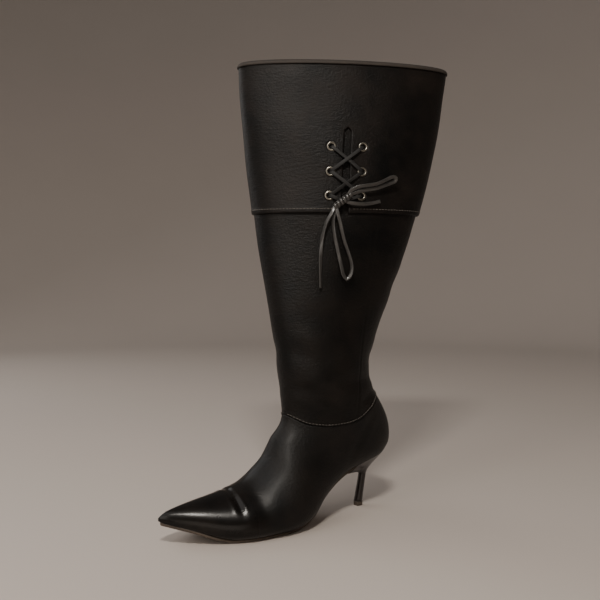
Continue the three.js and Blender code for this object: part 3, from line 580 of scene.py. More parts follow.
class Graph:
    """Node tree of a new material, with the steps that the finishes share."""

    def __init__(self, name: str) -> None:
        """Starts an empty node material.

        Args:
            name: name of the material.
        """
        self.material = bpy.data.materials.new(name)
        self.material.use_nodes = True
        self.material.node_tree.nodes.clear()
        self.place = self.add("TexCoord").outputs["Object"]

    def add(self, kind: str, settings: dict | None = None, links: dict | None = None) -> bpy.types.Node:
        """Adds a node, as add_node does."""
        return add_node(self.material.node_tree, kind, settings, links)

    def noise(
        self, size: float, detail: float, roughness: float = 0.5, place: bpy.types.NodeSocket | None = None,
    ) -> bpy.types.NodeSocket:
        """Noise whose spots are about size millimetres wide."""
        settings = {"Scale": 1 / (size * MM), "Detail": detail, "Roughness": roughness}
        return self.add("TexNoise", settings, {"Vector": place or self.place}).outputs["Fac"]

    def math(self, operation: str, *values: float | bpy.types.NodeSocket) -> bpy.types.NodeSocket:
        """Result of a sum over numbers and sockets."""
        numbers = {i: value for i, value in enumerate(values) if isinstance(value, float)}
        sockets = {i: value for i, value in enumerate(values) if i not in numbers}
        return self.add("Math", {"operation": operation, **numbers}, sockets).outputs[0]

    def remap(
        self, value: bpy.types.NodeSocket, start: tuple, end: tuple = (0.0, 1.0), curve: str = "LINEAR",
    ) -> bpy.types.NodeSocket:
        """The value carried from one range to another, and kept inside it."""
        settings = {
            "interpolation_type": curve,
            "From Min": start[0], "From Max": start[1], "To Min": end[0], "To Max": end[1],
        }
        return self.add("MapRange", settings, {"Value": value}).outputs["Result"]

    def blend(self, share: bpy.types.NodeSocket, dark: str, light: str) -> bpy.types.NodeSocket:
        """Colour between two hex codes."""
        settings = {"data_type": "RGBA", 6: linear(dark), 7: linear(light)}
        return self.add("Mix", settings, {0: share}).outputs[2]

    def bump(self, height: bpy.types.NodeSocket, strength: float, depth: float) -> bpy.types.NodeSocket:
        """Normal of a relief whose depth is given in millimetres."""
        settings = {"Strength": strength, "Distance": depth * MM}
        return self.add("Bump", settings, {"Height": height}).outputs[0]

    def finish(self, settings: dict, links: dict) -> bpy.types.Material:
        """Adds the surface shader and the output, and gives the finished material."""
        shader = self.add("BsdfPrincipled", settings, links)
        self.add("OutputMaterial", links={"Surface": shader.outputs[0]})
        return self.material


@dataclass(frozen=True)
class GrainedLeather:
    """Chrome-tanned cowhide, dyed black and milled: a soft pebble grain under a thin semi-gloss finish.

    The pebbles break the gloss into small lights, and a warm undertone shows where the finish is rubbed.
    """

    name: str
    deep: str = "060606"
    warm: str = "181411"
    grain_mm: float = 2.2  # real pebbles are about 0.8 mm, drawn coarser so that they show
    roughness: float = 0.42
    bump: float = 0.5
    creases: float = 2.5
    specular: float = 0.16
    polish: tuple[float, float] | None = None  # x range in metres over which the leather turns glossy
    polish_left: float = 0.4  # share of the roughness that is left where it is polished

    def build(self) -> bpy.types.Material:
        """The leather's material."""
        graph = Graph(self.name)
        place = graph.place
        flow = graph.add("Mapping", {"Scale": (1.0, 1.0, 3.0)}, {"Vector": place}).outputs["Vector"]
        cells = {"feature": "SMOOTH_F1", "Scale": 1 / (self.grain_mm * MM), "Smoothness": 0.35}
        pebble = graph.add("TexVoronoi", cells, {"Vector": place}).outputs["Distance"]
        creases = graph.noise(6.0, 4.0, 0.6, flow)
        pores = graph.noise(0.6, 3.0, 0.6)
        clouds = graph.noise(38.0, 5.0, 0.6)
        fine = graph.math("MULTIPLY_ADD", pebble, -0.8, pores)
        height = graph.math("MULTIPLY_ADD", creases, self.creases, fine)
        colour = graph.blend(graph.remap(clouds, (0.35, 0.72)), self.deep, self.warm)
        gloss = graph.remap(clouds, (0.0, 1.0), (self.roughness - 0.07, self.roughness + 0.09))
        if self.polish:
            x = graph.add("SeparateXYZ", links={0: place}).outputs["X"]
            worn = graph.remap(x, self.polish, (1.0, self.polish_left), "SMOOTHSTEP")
            gloss = graph.math("MULTIPLY", gloss, worn)
            height = graph.math("MULTIPLY", height, graph.math("POWER", worn, 3.0))
        return graph.finish(
            {"Specular IOR Level": self.specular, "Coat Weight": 0.06, "Coat Roughness": 0.3},
            {"Base Color": colour, "Roughness": gloss, "Normal": graph.bump(height, self.bump, 0.4)},
        )


@dataclass(frozen=True)
class PlainFinish:
    """A finish with one colour that drifts a little, and a fine even grain.

    It serves moulded rubber, polished heel leather, woven tape and lining, nylon, lace and thread, which
    differ in colour, roughness and the size of their grain.
    """

    name: str
    dark: str
    light: str
    roughness: float
    grain_mm: float
    bump: float
    metallic: float = 0.0
    coat: float = 0.0
    weave: bool = False

    def build(self) -> bpy.types.Material:
        """The finish's material."""
        graph = Graph(self.name)
        if self.weave:
            rib = {"Scale": 1 / (self.grain_mm * MM) / 3, "Distortion": 0.4}
            ribs = [
                graph.add("TexWave", {"bands_direction": axis, **rib}, {"Vector": graph.place})
                for axis in ("X", "Z")
            ]
            grain = graph.math("MAXIMUM", *(node.outputs["Fac"] for node in ribs))
        else:
            grain = graph.noise(self.grain_mm, 3.0)
        colour = graph.blend(graph.remap(graph.noise(14.0, 4.0), (0.3, 0.7)), self.dark, self.light)
        spread = (max(0.05, self.roughness - 0.06), min(1.0, self.roughness + 0.06))
        return graph.finish(
            {"Metallic": self.metallic, "Coat Weight": self.coat, "Coat Roughness": 0.15},
            {
                "Base Color": colour, "Roughness": graph.remap(grain, (0.0, 1.0), spread),
                "Normal": graph.bump(grain, self.bump, 0.15),
            },
        )


@dataclass(frozen=True)
class Fold:
    """A soft trough, or a ridge where its depth is negative, along a bowed line of the side view.

    Places are shares of the foot's length and of the rim's height.
    """

    start: tuple[float, float]
    middle: tuple[float, float]
    end: tuple[float, float]
    width: float
    depth: float
    side: Side = Side.BOTH

    def press(self, form: BootForm, points: np.ndarray, normals: np.ndarray) -> np.ndarray:
        """How far the leather moves out at each point.

        The distance d to the line, in widths, gives minus depth times exp(-d squared), with a low ridge
        about two widths away, and all of it fades toward the line's ends.

        Args:
            form: the boot's form.
            points: points of the leather, last axis x y z.
            normals: their normals.

        Returns:
            One distance for each point.
        """
        scale = np.array((form.foot_length, form.rim_z))
        a, b, c = (np.array(p) * scale for p in (self.start, self.middle, self.end))
        t = np.linspace(0, 1, 25)[:, None]
        line = (1 - t) ** 2 * a + 2 * t * (1 - t) * b + t**2 * c
        flat = points[..., [0, 2]].reshape(-1, 2)
        near = np.full(len(flat), 1e9)
        where = np.zeros(len(flat))
        for share, place in zip(t[:, 0], line):
            d = np.hypot(*(flat - place).T)
            where = np.where(d < near, share, where)
            near = np.minimum(near, d)
        d = near / self.width
        fade = smooth_step(0.0, 0.3, where) * smooth_step(0.0, 0.3, 1 - where)
        shape = -np.exp(-(d**2)) + RIDGE_SHARE * np.exp(-((d - RIDGE_PLACE) ** 2) / 0.6)
        move = self.depth * shape * np.clip(fade + 0.15, 0, 1)
        if self.side is not Side.BOTH:
            move = move * smooth_step(-0.15, 0.35, self.side.value * normals[..., 1].ravel())
        return move.reshape(points.shape[:-1])


def seam_relief(beside: np.ndarray, swell: tuple[float, float], groove: tuple[float, float]) -> np.ndarray:
    """Height of leather beside a seam: a swell with a groove in it, each given by its height and width."""
    bells = [size * np.exp(-((beside / width) ** 2)) for size, width in (swell, groove)]
    return bells[0] - bells[1]


RIDGE_SHARE = 0.3  # height of the ridges beside a fold, as a share of its depth
RIDGE_PLACE = 1.9  # their distance from its line, in widths
FOOT_FOLDS = (
    # Bend of the forefoot: one sharp crease behind the toe box and softer ones behind it
    Fold((0.74, 0.055), (0.748, 0.088), (0.732, 0.15), 2.6, 1.0),
    Fold((0.66, 0.02), (0.675, 0.055), (0.66, 0.105), 6.5, 0.6),
    Fold((0.57, 0.06), (0.61, 0.11), (0.60, 0.19), 9.0, 0.4),
    # Instep, where the foot part bends against the shaft
    Fold((0.36, 0.165), (0.44, 0.19), (0.51, 0.235), 8.0, 0.35),
    # Stiff counter: its front edge shows through the leather
    Fold((0.28, 0.115), (0.24, 0.17), (0.14, 0.235), 4.5, 0.55),
)
SHAFT_FOLDS = (
    Fold((0.02, 0.275), (0.12, 0.262), (0.24, 0.268), 6.0, 1.3, Side.OUTER),
    Fold((0.30, 0.262), (0.40, 0.275), (0.50, 0.305), 6.0, 1.4),
    Fold((0.10, 0.305), (0.22, 0.298), (0.36, 0.308), 7.0, 0.8, Side.OUTER),
    Fold((0.35, 0.35), (0.45, 0.36), (0.53, 0.385), 8.0, 1.1),
    Fold((-0.02, 0.36), (0.08, 0.345), (0.2, 0.35), 8.0, 1.0),
    Fold((0.22, 0.44), (0.36, 0.43), (0.5, 0.455), 10.0, 0.8, Side.OUTER),
    Fold((0.05, 0.4), (0.22, 0.37), (0.42, 0.4), 9.0, 0.9, Side.INNER),
    Fold((-0.1, 0.52), (0.02, 0.5), (0.12, 0.52), 10.0, 0.9, Side.BOTH),
    Fold((0.3, 0.27), (0.1, 0.4), (-0.02, 0.5), 11.0, 1.4, Side.INNER),
)


def unevenness(points: np.ndarray, seed: int, size: float, reach: float) -> np.ndarray:
    """Slow swells of soft leather: a sum of sine waves in seeded directions.

    Args:
        points: points of the leather.
        seed: seed of the directions.
        size: typical length of a swell.
        reach: typical height of a swell.

    Returns:
        One distance for each point.
    """
    rng = np.random.default_rng(seed)
    total = np.zeros(points.shape[:-1])
    for _ in range(9):
        direction = rng.normal(size=3)
        direction *= 2 * math.pi / (size * rng.uniform(0.7, 1.6) * np.linalg.norm(direction))
        total += np.sin(points @ direction + rng.uniform(0, 2 * math.pi))
    return reach * total / 3


class Skin:
    """Fine grid of the whole outer surface, from which the leather pieces are cut."""

    def __init__(self, form: BootForm, columns: int = 200, step: float = 1.1) -> None:
        """Samples the form.

        Args:
            form: the boot's form.
            columns: points over the boot, from the outer edge of the sole to the inner.
            step: distance between rows along the boot.
        """
        self.form = form
        self.at = np.arange(0, form.stations[-1], step)
        rings = form.rings(self.at)
        over = rings[..., 2] - form.sole_edge(rings[..., 0])
        cuts = [self.cut(ring, above, columns) for ring, above in zip(rings, over)]
        self.grid = self.smoothed(np.stack(cuts))

    @staticmethod
    def smoothed(grid: np.ndarray, reach: int = 9) -> np.ndarray:
        """The grid with each point replaced by a bell-weighted mean of the rows about it, its ends kept.

        Args:
            grid: grid of points.
            reach: rows on either side that count.

        Returns:
            The smoother grid.
        """
        before = 2 * grid[:1] - grid[1 : reach + 1][::-1]
        after = 2 * grid[-1:] - grid[-reach - 1 : -1][::-1]
        wide = np.concatenate((before, grid, after))
        weights = np.exp(-((np.arange(-reach, reach + 1) / (0.5 * reach)) ** 2))
        shifted = [w * wide[k : k + len(grid)] for k, w in enumerate(weights / weights.sum())]
        return np.sum(shifted, axis=0)

    @staticmethod
    def cut(ring: np.ndarray, above: np.ndarray, columns: int) -> np.ndarray:
        """The part of a ring over the sole's edge, respaced.

        Its ends lie where the height over the edge is 0.

        Args:
            ring: points of the ring.
            above: their heights over the edge.
            columns: number of points wanted.

        Returns:
            The new points.
        """
        inside = np.flatnonzero(above >= 0)
        first, last = inside[0], inside[-1]
        parts = [ring[first : last + 1]]
        if first > 0:
            t = above[first] / (above[first] - above[first - 1])
            parts.insert(0, (ring[first] + (ring[first - 1] - ring[first]) * t)[None])
        if last < len(ring) - 1:
            t = above[last] / (above[last] - above[last + 1])
            parts.append((ring[last] + (ring[last + 1] - ring[last]) * t)[None])
        return respace(np.concatenate(parts), columns)

    def rows(self, places: np.ndarray) -> np.ndarray:
        """Grid read between its rows.

        Args:
            places: row numbers with fractions, of shape (rows, columns).

        Returns:
            Points of shape (rows, columns, 3).
        """
        places = np.clip(places, 0, len(self.grid) - 1.001)
        low = places.astype(int)
        part = (places - low)[..., None]
        column = np.arange(self.grid.shape[1])[None, :]
        return self.grid[low, column] * (1 - part) + self.grid[low + 1, column] * part

    def seam_rows(self, over: float) -> np.ndarray:
        """Row number, with fraction, where each column crosses a line that lies over the ankle seam."""
        above = self.grid[..., 2] - self.form.ankle_seam(self.grid[..., 0]) - over
        after = np.argmax(above >= 0, axis=0)
        column = np.arange(self.grid.shape[1])
        low = above[after - 1, column]
        high = above[after, column]
        return after - 1 + low / (low - high)

    def height_row(self, z: float) -> float:
        """Row number of the shaft's ring at a height."""
        return self.form.station_at_height(z) / (self.at[1] - self.at[0])


@dataclass(frozen=True)
class Leather:
    """Finds points on the outer surface by looking at it from one side."""

    tree: BVHTree
    form: BootForm
    sight: float = 250.0

    @staticmethod
    def over(skin: Skin) -> "Leather":
        """The surface of a skin's whole grid."""
        rows, columns = skin.grid.shape[:2]
        quads = grid_quads(rows, columns)
        points = skin.grid.reshape(-1, 3)
        return Leather(BVHTree.FromPolygons(points.tolist(), quads.tolist()), skin.form)

    def look(self, origins: np.ndarray, direction: np.ndarray) -> tuple[np.ndarray, np.ndarray]:
        """Where lines of sight meet the leather.

        Args:
            origins: points outside the boot.
            direction: one direction for all.

        Returns:
            Points and outward normals, one row each. A line that meets nothing gives the leather's nearest
            point to a place far along the line.
        """
        points = []
        normals = []
        for origin in origins:
            place, normal, _, _ = self.tree.ray_cast(Vector(origin), Vector(direction))
            if place is None:
                beyond = Vector(origin) + Vector(direction) * self.sight
                place, normal, _, _ = self.tree.find_nearest(beyond)
            flip = -1 if normal.dot(Vector(direction)) > 0 else 1
            points.append(tuple(place))
            normals.append(tuple(normal * flip))
        return np.array(points), np.array(normals)

    def from_side(self, x: np.ndarray, z: np.ndarray, side: Side) -> tuple[np.ndarray, np.ndarray]:
        """Points of the leather at places of the side view.

        Args:
            x: places along the foot.
            z: heights.
            side: side that is looked at.

        Returns:
            Points and outward normals.
        """
        origins = np.stack((x, np.full_like(x, 300.0 * side.value), z), axis=1)
        return self.look(origins, np.array((0.0, -side.value, 0.0)))

    def cuff_axes(self) -> tuple[np.ndarray, np.ndarray, np.ndarray]:
        """Origin, length direction and outward direction of the flattened rim."""
        turn = math.radians(-self.form.shaft_twist)
        origin = np.array((self.form.ankle_middle - self.form.rim_set_back, -self.form.rim_lean, 0.0))
        along = np.array((math.cos(turn), math.sin(turn), 0.0))
        out = np.array((-math.sin(turn), math.cos(turn), 0.0))
        return origin, along, out

    def from_cuff(self, points: np.ndarray) -> np.ndarray:
        """Points of the cuff's frame (along, out, up) in the boot's frame."""
        origin, along, out = self.cuff_axes()
        return origin + np.asarray(points, float) @ np.stack((along, out, (0.0, 0.0, 1.0)))

    def over_cuff(self, along: np.ndarray, z: np.ndarray, lift: float) -> np.ndarray:
        """Points over the leather of the outer side, lifted along the cuff's outward direction.

        Args:
            along: places along the flattened rim, from its middle.
            z: heights.
            lift: distance over the shaft's leather.

        Returns:
            Points in the boot's frame.
        """
        _, _, out = self.cuff_axes()
        far = np.stack((along, np.full_like(along, 200.0), z), axis=1)
        points, _ = self.look(self.from_cuff(far), -out)
        return points + lift * out


@dataclass(frozen=True)
class Sheet:
    """Leather with a thickness, its finish outside and a lining inside."""

    finish: bpy.types.Material
    lining: bpy.types.Material
    wall: float = 1.8

    def build(self, name: str, points: np.ndarray) -> bpy.types.Object:
        """The leather whose outer surface is a grid.

        Args:
            name: name of the piece.
            points: grid of the surface, in metres.

        Returns:
            The piece, with its wall as a modifier.
        """
        piece = new_piece(name, points, grid_quads(*points.shape[:2]).tolist(), self.finish, weld=2e-5)
        piece.data.materials.append(self.lining)
        solid = piece.modifiers.new("wall", "SOLIDIFY")
        solid.thickness = self.wall * MM
        solid.offset = -1.0
        solid.material_offset = 1
        solid.use_even_offset = False
        return piece


@dataclass
class Zip:
    """Zip of the inner side: slot in the leather, two rows of coils, slider and pull tab."""

    form: BootForm
    leather: Leather
    placing: Placing
    top: float = 268.0
    bottom: float = 53.0
    slot: float = 5.6
    straight: float = 79.0
    pitch: float = 1.5  # real coils stand about 1.2 mm apart
    coil: float = 2.0
    coil_depth: float = 1.0
    row_offset: float = 0.55
    core_width: float = 4.2
    margin: float = 1.5  # distance from the slot's ends to the first and last coil

    def line_x(self, z: np.ndarray) -> np.ndarray:
        """Place of the zip at each height: straight below the ankle, along the shaft's middle above it."""
        ankle = self.form.heel_height + self.form.ankle_height
        return self.straight - self.form.rim_set_back * np.maximum(0, z - ankle) / self.form.shaft_height

    def slot_cutter(self) -> bpy.types.Object:
        """Prism that cuts the slot, rounded at both ends."""
        z = np.linspace(self.bottom, self.top, 60)
        round_part = self.slot / 2
        straight = (self.top - self.bottom) / 2 - round_part
        beyond = (np.abs(z - (self.top + self.bottom) / 2) - straight).clip(0) / round_part
        half = round_part * np.sqrt(np.clip(1 - beyond**2, 0, 1)).clip(0.15)
        x = np.concatenate((self.line_x(z) + half, (self.line_x(z) - half)[::-1]))
        heights = np.concatenate((z, z[::-1]))
        depths = (-160.0, -self.form.rim_lean)
        rings = np.stack([np.stack((x, np.full_like(x, y), heights), axis=1) for y in depths])
        count = len(x)
        caps = [list(range(count)), list(range(count, 2 * count))]
        faces = [*grid_quads(2, count, wrap=True).tolist(), *caps]
        return new_piece("slot_cutter", self.placing.row(rings), faces, smooth=False, turn_out=True)

    def cut(self, piece: bpy.types.Object, cutter: bpy.types.Object) -> None:
        """Cuts the slot out of a leather piece that already has its wall."""
        tool = piece.modifiers.new("slot", "BOOLEAN")
        tool.operation = "DIFFERENCE"
        tool.solver = "EXACT"
        tool.object = cutter
        apply_modifiers(piece)

    def build_coils(self, finish: bpy.types.Material) -> bpy.types.Object:
        """Two rows of coils on a narrow core.

        Every coil is a small spindle across the zip, placed on the leather's inner side, and the rows are
        half a pitch apart.

        Args:
            finish: material of the coils.

        Returns:
            The joined piece.
        """
        z = np.arange(self.bottom + self.margin, self.top - self.margin, self.pitch / 2)
        place, normal = self.leather.from_side(self.line_x(z), z, Side.INNER)
        along = unit(np.gradient(place, axis=0))
        across = unit(np.cross(along, normal))
        side = np.where(np.arange(len(z)) % 2 == 0, 1.0, -1.0)[:, None]
        centre = place - self.coil_depth * normal + self.row_offset * side * across
        coil = Spindle(
            np.array((-1.0, -0.7, 0.0, 0.7, 1.0)) * self.coil * 0.62,
            np.array((0.25, 0.8, 1.0, 0.8, 0.25)) * 0.52,
        )
        half = self.core_width / 2
        corners = ((1.5, -half), (1.5, half), (2.0, half), (2.0, -half))
        core = np.stack([place - depth * normal + reach * across for depth, reach in corners], axis=1)
        points, faces = closed_tubes([*coil.at(centre, across, along, normal), core])
        return new_piece("zip_coils", self.placing.row(points), faces, finish)


def rounded_copy(node: str, name: str, radius: float, finish: bpy.types.Material) -> bpy.types.Object:
    """Copy of a CAD node with its edges rounded.

    Args:
        node: name of the CAD node.
        name: name of the piece.
        radius: radius of the edges in millimetres.
        finish: material.

    Returns:
        The piece.
    """
    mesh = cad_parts[node].data.copy()
    mesh.materials.clear()
    mesh.materials.append(finish)
    with editing(mesh) as work:
        bmesh.ops.remove_doubles(work, verts=work.verts, dist=1e-6)
        bmesh.ops.dissolve_limit(work, angle_limit=0.02, verts=work.verts, edges=work.edges)
    mesh.polygons.foreach_set("use_smooth", [False] * len(mesh.polygons))
    piece = bpy.data.objects.new(name, mesh)
    bpy.context.scene.collection.objects.link(piece)
    bevel = piece.modifiers.new("round", "BEVEL")
    bevel.width = radius * MM
    bevel.segments = 3
    bevel.limit_method = "ANGLE"
    bevel.angle_limit = math.radians(28)
    bevel.harden_normals = True
    return piece


@dataclass
class Foot:
    """Vamp and quarters, from the sole's edge to the ankle seam."""

    skin: Skin
    placing: Placing
    rows: int = 235
    tuck: float = 3.0  # how far the leather runs on under the shaft's edge
    set_in: float = 0.9  # and how deep it lies there
    fold_fade: tuple[float, float] = (0.5, 9.0)  # heights over the sole between which the folds begin
    pinch: float = 0.35  # how far the leather draws in at the sole, and over what height
    pinch_height: float = 0.8
    pinch_ends: tuple[float, float] = (252.0, 235.0)  # places toward the toe between which it fades

    def build(self, sheet: Sheet) -> bpy.types.Object:
        """The leather of the foot with its folds.

        Each column of the skin is read from the toe to a line a little over the ankle seam. Folds fade
        toward the sole, and the leather is pinched where it meets the sole, except at the toe.

        Args:
            sheet: leather and lining.

        Returns:
            The piece.
        """
        end = self.skin.seam_rows(self.tuck)
        seam = self.skin.seam_rows(-0.2)
        places = np.linspace(0, 1, self.rows)[:, None] * end[None, :]
        points = self.skin.rows(places)
        normals = grid_normals(points)
        form = self.skin.form
        move = sum(fold.press(form, points, normals) for fold in FOOT_FOLDS)
        move = move + unevenness(points, seed=11, size=46.0, reach=0.22)
        edge = points[..., 2] - form.sole_edge(points[..., 0])
        move = move * smooth_step(*self.fold_fade, edge)
        move -= self.set_in * smooth_step(-1.0, 0.0, places - seam[None, :])
        pinch = self.pinch * np.exp(-((edge / self.pinch_height) ** 2))
        move -= pinch * smooth_step(*self.pinch_ends, points[..., 0])
        points = points + move[..., None] * normals
        tip = points[0].mean(axis=0) + np.array((0.25, 0.0, 0.0))
        rows = np.concatenate((np.broadcast_to(tip, (1, *points.shape[1:])), points))
        return sheet.build("upper_leather", self.placing.row(rows))


@dataclass
class Leg:
    """Shaft from the ankle seam to the rim."""

    skin: Skin
    placing: Placing
    fine_rows: int = 185
    hidden_rows: int = 26
    shown: float = 0.62  # share of its height that the cuff leaves free
    under_rim: float = 2.7
    fold_fade: tuple[float, float] = (1.0, 14.0)  # heights over the ankle seam between which folds begin
    fold_ends: tuple[float, float] = (175.0, 150.0)  # drops from the rim between which the folds fade out
    edge_swell: float = 0.25  # the folded edge at its foot: how far it stands out, and its height
    edge_height: float = 2.4

    def build(self, sheet: Sheet) -> bpy.types.Object:
        """The leather of the shaft, with a thicker folded edge at its foot and a sunken side seam.

        Args:
            sheet: leather and lining.

        Returns:
            The piece.
        """
        form = self.skin.form
        start = self.skin.seam_rows(0.15)
        end = self.skin.height_row(form.rim_z - self.under_rim)
        fine = np.linspace(0, self.shown, self.fine_rows)[:-1]
        share = np.concatenate((fine, np.linspace(self.shown, 1, self.hidden_rows)))
        points = self.skin.rows(start[None, :] + share[:, None] * (end - start[None, :]))
        normals = grid_normals(points)
        over = points[..., 2] - form.ankle_seam(points[..., 0])
        low, high = (form.rim_z - drop for drop in self.fold_ends)
        free = 1 - smooth_step(low, high, points[..., 2])
        move = sum(fold.press(form, points, normals) for fold in SHAFT_FOLDS)
        move = move + unevenness(points, seed=23, size=52.0, reach=0.4)
        move = move * free * smooth_step(*self.fold_fade, over)
        move += self.edge_swell * np.exp(-((over / self.edge_height) ** 4))
        beside = points[..., 0] - Trim.side_seam_x(form, points[..., 2])
        outer = smooth_step(0.1, 0.5, normals[..., 1])
        move += outer * free * seam_relief(beside, (0.35, 3.4), (0.75, 1.1))
        return sheet.build("shaft_leather", self.placing.row(points + move[..., None] * normals))


@dataclass
class Cuff:
    """Deep cuff folded over the rim, with a keyhole slit on the outer side."""

    form: BootForm
    leather: Leather
    placing: Placing
    height: float = 152.0
    face: float = 2.5  # lift of the outside over the shaft's leather
    inside: float = 1.8  # depth under it at which the inner part ends
    rim_round: float = 1.9
    hem_round: float = 0.45
    hem_swell: float = 0.35  # how far the turned hem stands out
    hem_middle: float = 3.0  # height of the hem's middle, which is half its width
    seam_lean: float = 6.0  # how far the seam leans over the cuff's height
    eyelet_dip: float = 1.7
    dip_edge: tuple[float, float] = (3.6, 4.3)  # distances from an eyelet's middle where its dip ends
    slit_place: float = 3.6
    slit_lean: float = 0.065
    slit_width: float = 7.0
    slit_drop: float = 67.0
    seam_place: float = 25.0
    rows: int = 116
    columns: int = 300

    @property
    def bottom(self) -> float:
        """Height of the cuff's lower edge."""
        return self.form.rim_z - self.height

    @property
    def slit_top(self) -> float:
        """Height of the top of the slit."""
        return self.form.rim_z - self.slit_drop

    def slit_middle(self, z: np.ndarray) -> np.ndarray:
        """Middle of the slit along the flattened rim."""
        return self.slit_place + self.slit_lean * (self.slit_top - z)

    def slit_half(self, z: np.ndarray) -> np.ndarray:
        """Half the slit's width: a circle at its top, straight sides below."""
        round_part = self.slit_width / 2
        drop = np.clip(self.slit_top - z, 0, None)
        inside = np.clip(1 - (1 - drop / round_part).clip(0) ** 2, 0, 1)
        return round_part * np.sqrt(inside)

    def swell(self, points: np.ndarray) -> np.ndarray:
        """How far the cuff's leather moves out: slow swells, the turned hem and the inner side's seam."""
        down = self.form.rim_z - points[..., 2]
        from_middle = np.abs(points[..., 2] - self.bottom - self.hem_middle)
        hem = smooth_step(-1.0, 0.0, -from_middle / self.hem_middle)
        origin, along, out = self.leather.cuff_axes()
        beside = (points - origin) @ along - self.seam_place + self.seam_lean * down / self.height
        inner = smooth_step(5.0, 10.0, -((points - origin) @ out))
        seam = inner * seam_relief(beside, (0.3, 3.2), (0.9, 1.0))
        slow = unevenness(points, seed=5, size=70.0, reach=0.35) * smooth_step(0.0, 20.0, down)
        return slow + self.hem_swell * hem + seam

    def from_slit(self, ring: np.ndarray, z: float) -> np.ndarray:
        """A closed ring of the shaft, started at its first point ahead of the slit."""
        origin, along, out = self.leather.cuff_axes()
        x = (ring - origin) @ along
        ahead = np.flatnonzero(((ring - origin) @ out > 0) & (x > self.slit_middle(z)))
        return np.roll(ring, -ahead[np.argmin(x[ahead])], axis=0)

    def row(self, ring: np.ndarray, z: float) -> np.ndarray:
        """Points round the shaft from one edge of the slit to the other.

        Args:
            ring: closed ring of the shaft, without its last point.
            z: its height.

        Returns:
            One row of the cuff's grid.
        """
        ring = self.from_slit(ring, z)
        origin, along, _ = self.leather.cuff_axes()
        x = (ring[[0, -1]] - origin) @ along
        meet = ring[0] + (ring[-1] - ring[0]) * (self.slit_middle(z) - x[0]) / (x[1] - x[0])
        curve = np.concatenate((meet[None], ring, meet[None]))
        length = lengths(curve)
        gap = float(self.slit_half(z))
        mixed = 0.7 * length / length[-1] + 0.3 * np.linspace(0, 1, len(curve))
        share = np.interp(np.linspace(0, 1, self.columns), mixed, length)
        return read_curve(gap + share * (length[-1] - 2 * gap) / length[-1], length, curve)

    def build(self, sheet: Sheet, eyelets: np.ndarray) -> bpy.types.Object:
        """The cuff's leather.

        A row starts at one side of the slit and goes round the shaft to its other side. The rows climb the
        outside, turn over the rim on a half circle and end inside. The leather dips under each eyelet.

        Args:
            sheet: leather and lining.
            eyelets: middles of the eyelets on the cuff's face.

        Returns:
            The piece.
        """
        shoulder = self.form.rim_z - self.rim_round
        z = self.bottom + (shoulder - self.bottom) * np.linspace(0, 1, self.rows)
        z = np.insert(z, 1, z[0] + 0.5)
        lift = np.full(len(z), self.face)
        lift[0] -= self.hem_round
        over = np.linspace(0, math.pi, 9)[1:]
        half = (self.face + self.inside) / 2
        z = np.concatenate((z, shoulder + self.rim_round * np.sin(over), [self.form.rim_z - 3.0]))
        lift = np.concatenate((lift, self.face - half + half * np.cos(over), [-self.inside]))
        rings = self.form.rings(np.array([self.form.station_at_height(h) for h in z]), 240)
        points = np.array([self.row(ring[:-1], height) for ring, height in zip(rings, z)])
        flat = unit(grid_normals(points) * np.array((1.0, 1.0, 0.0)))
        near = np.min(np.linalg.norm(points[..., None, :] - eyelets[None, None], axis=3), axis=2)
        near = np.where(lift[:, None] > 2, near, 99.0)
        dip = self.eyelet_dip * (1 - smooth_step(*self.dip_edge, near))
        move = lift[:, None] + self.swell(points) - dip
        return sheet.build("cuff_leather", self.placing.row(points + move[..., None] * flat))


@dataclass(frozen=True)
class Ribbon:
    """Flat lace carried along a path."""

    width: float = 3.6
    thick: float = 1.3
    sides: int = 14
    fullness: float = 3.4  # exponent of the superellipse

    def rings(self, path: np.ndarray, out: np.ndarray, twist: np.ndarray) -> np.ndarray:
        """Closed sections of the lace.

        A section is a superellipse, the lace's width across the path and its thickness out of the leather,
        turned about the path by the twist.

        Args:
            path: points of the centre line.
            out: direction that the flat face looks to.
            twist: angle in radians at each point.

        Returns:
            Points of shape (points, sides, 3).
        """
        along = unit(np.gradient(path, axis=0))
        across = unit(np.cross(np.broadcast_to(out, along.shape), along))
        face = unit(np.cross(along, across))
        turn = twist[:, None]
        wide = across * np.cos(turn) + face * np.sin(turn)
        deep = face * np.cos(turn) - across * np.sin(turn)
        angle = np.linspace(0, 2 * math.pi, self.sides, endpoint=False)
        u, v = (np.sign(w) * np.abs(w) ** (2 / self.fullness) for w in (np.cos(angle), np.sin(angle)))
        return ovals(path, wide, deep, u * self.width / 2, v * self.thick / 2)


def curve_through(points: np.ndarray, count: int) -> np.ndarray:
    """Smooth path through points, evenly spaced: cubic pieces over the distance between the points.

    Args:
        points: points of the route.
        count: number of points wanted.

    Returns:
        The path.
    """
    length = lengths(points)
    fine = np.linspace(0, length[-1], 400)
    dense = np.stack([shared_slope(length, column, fine) for column in points.T], axis=1)
    return respace(dense, count, 0.0)


@dataclass(frozen=True)
class Strand:
    """A loop or end of the lace that leaves the knot."""

    twist: float  # angle in radians that it turns about its own line
    far_end: str
    lay: str
    route: tuple[tuple[float, float, float], ...]  # points in the cuff's frame: along it, out of it, up


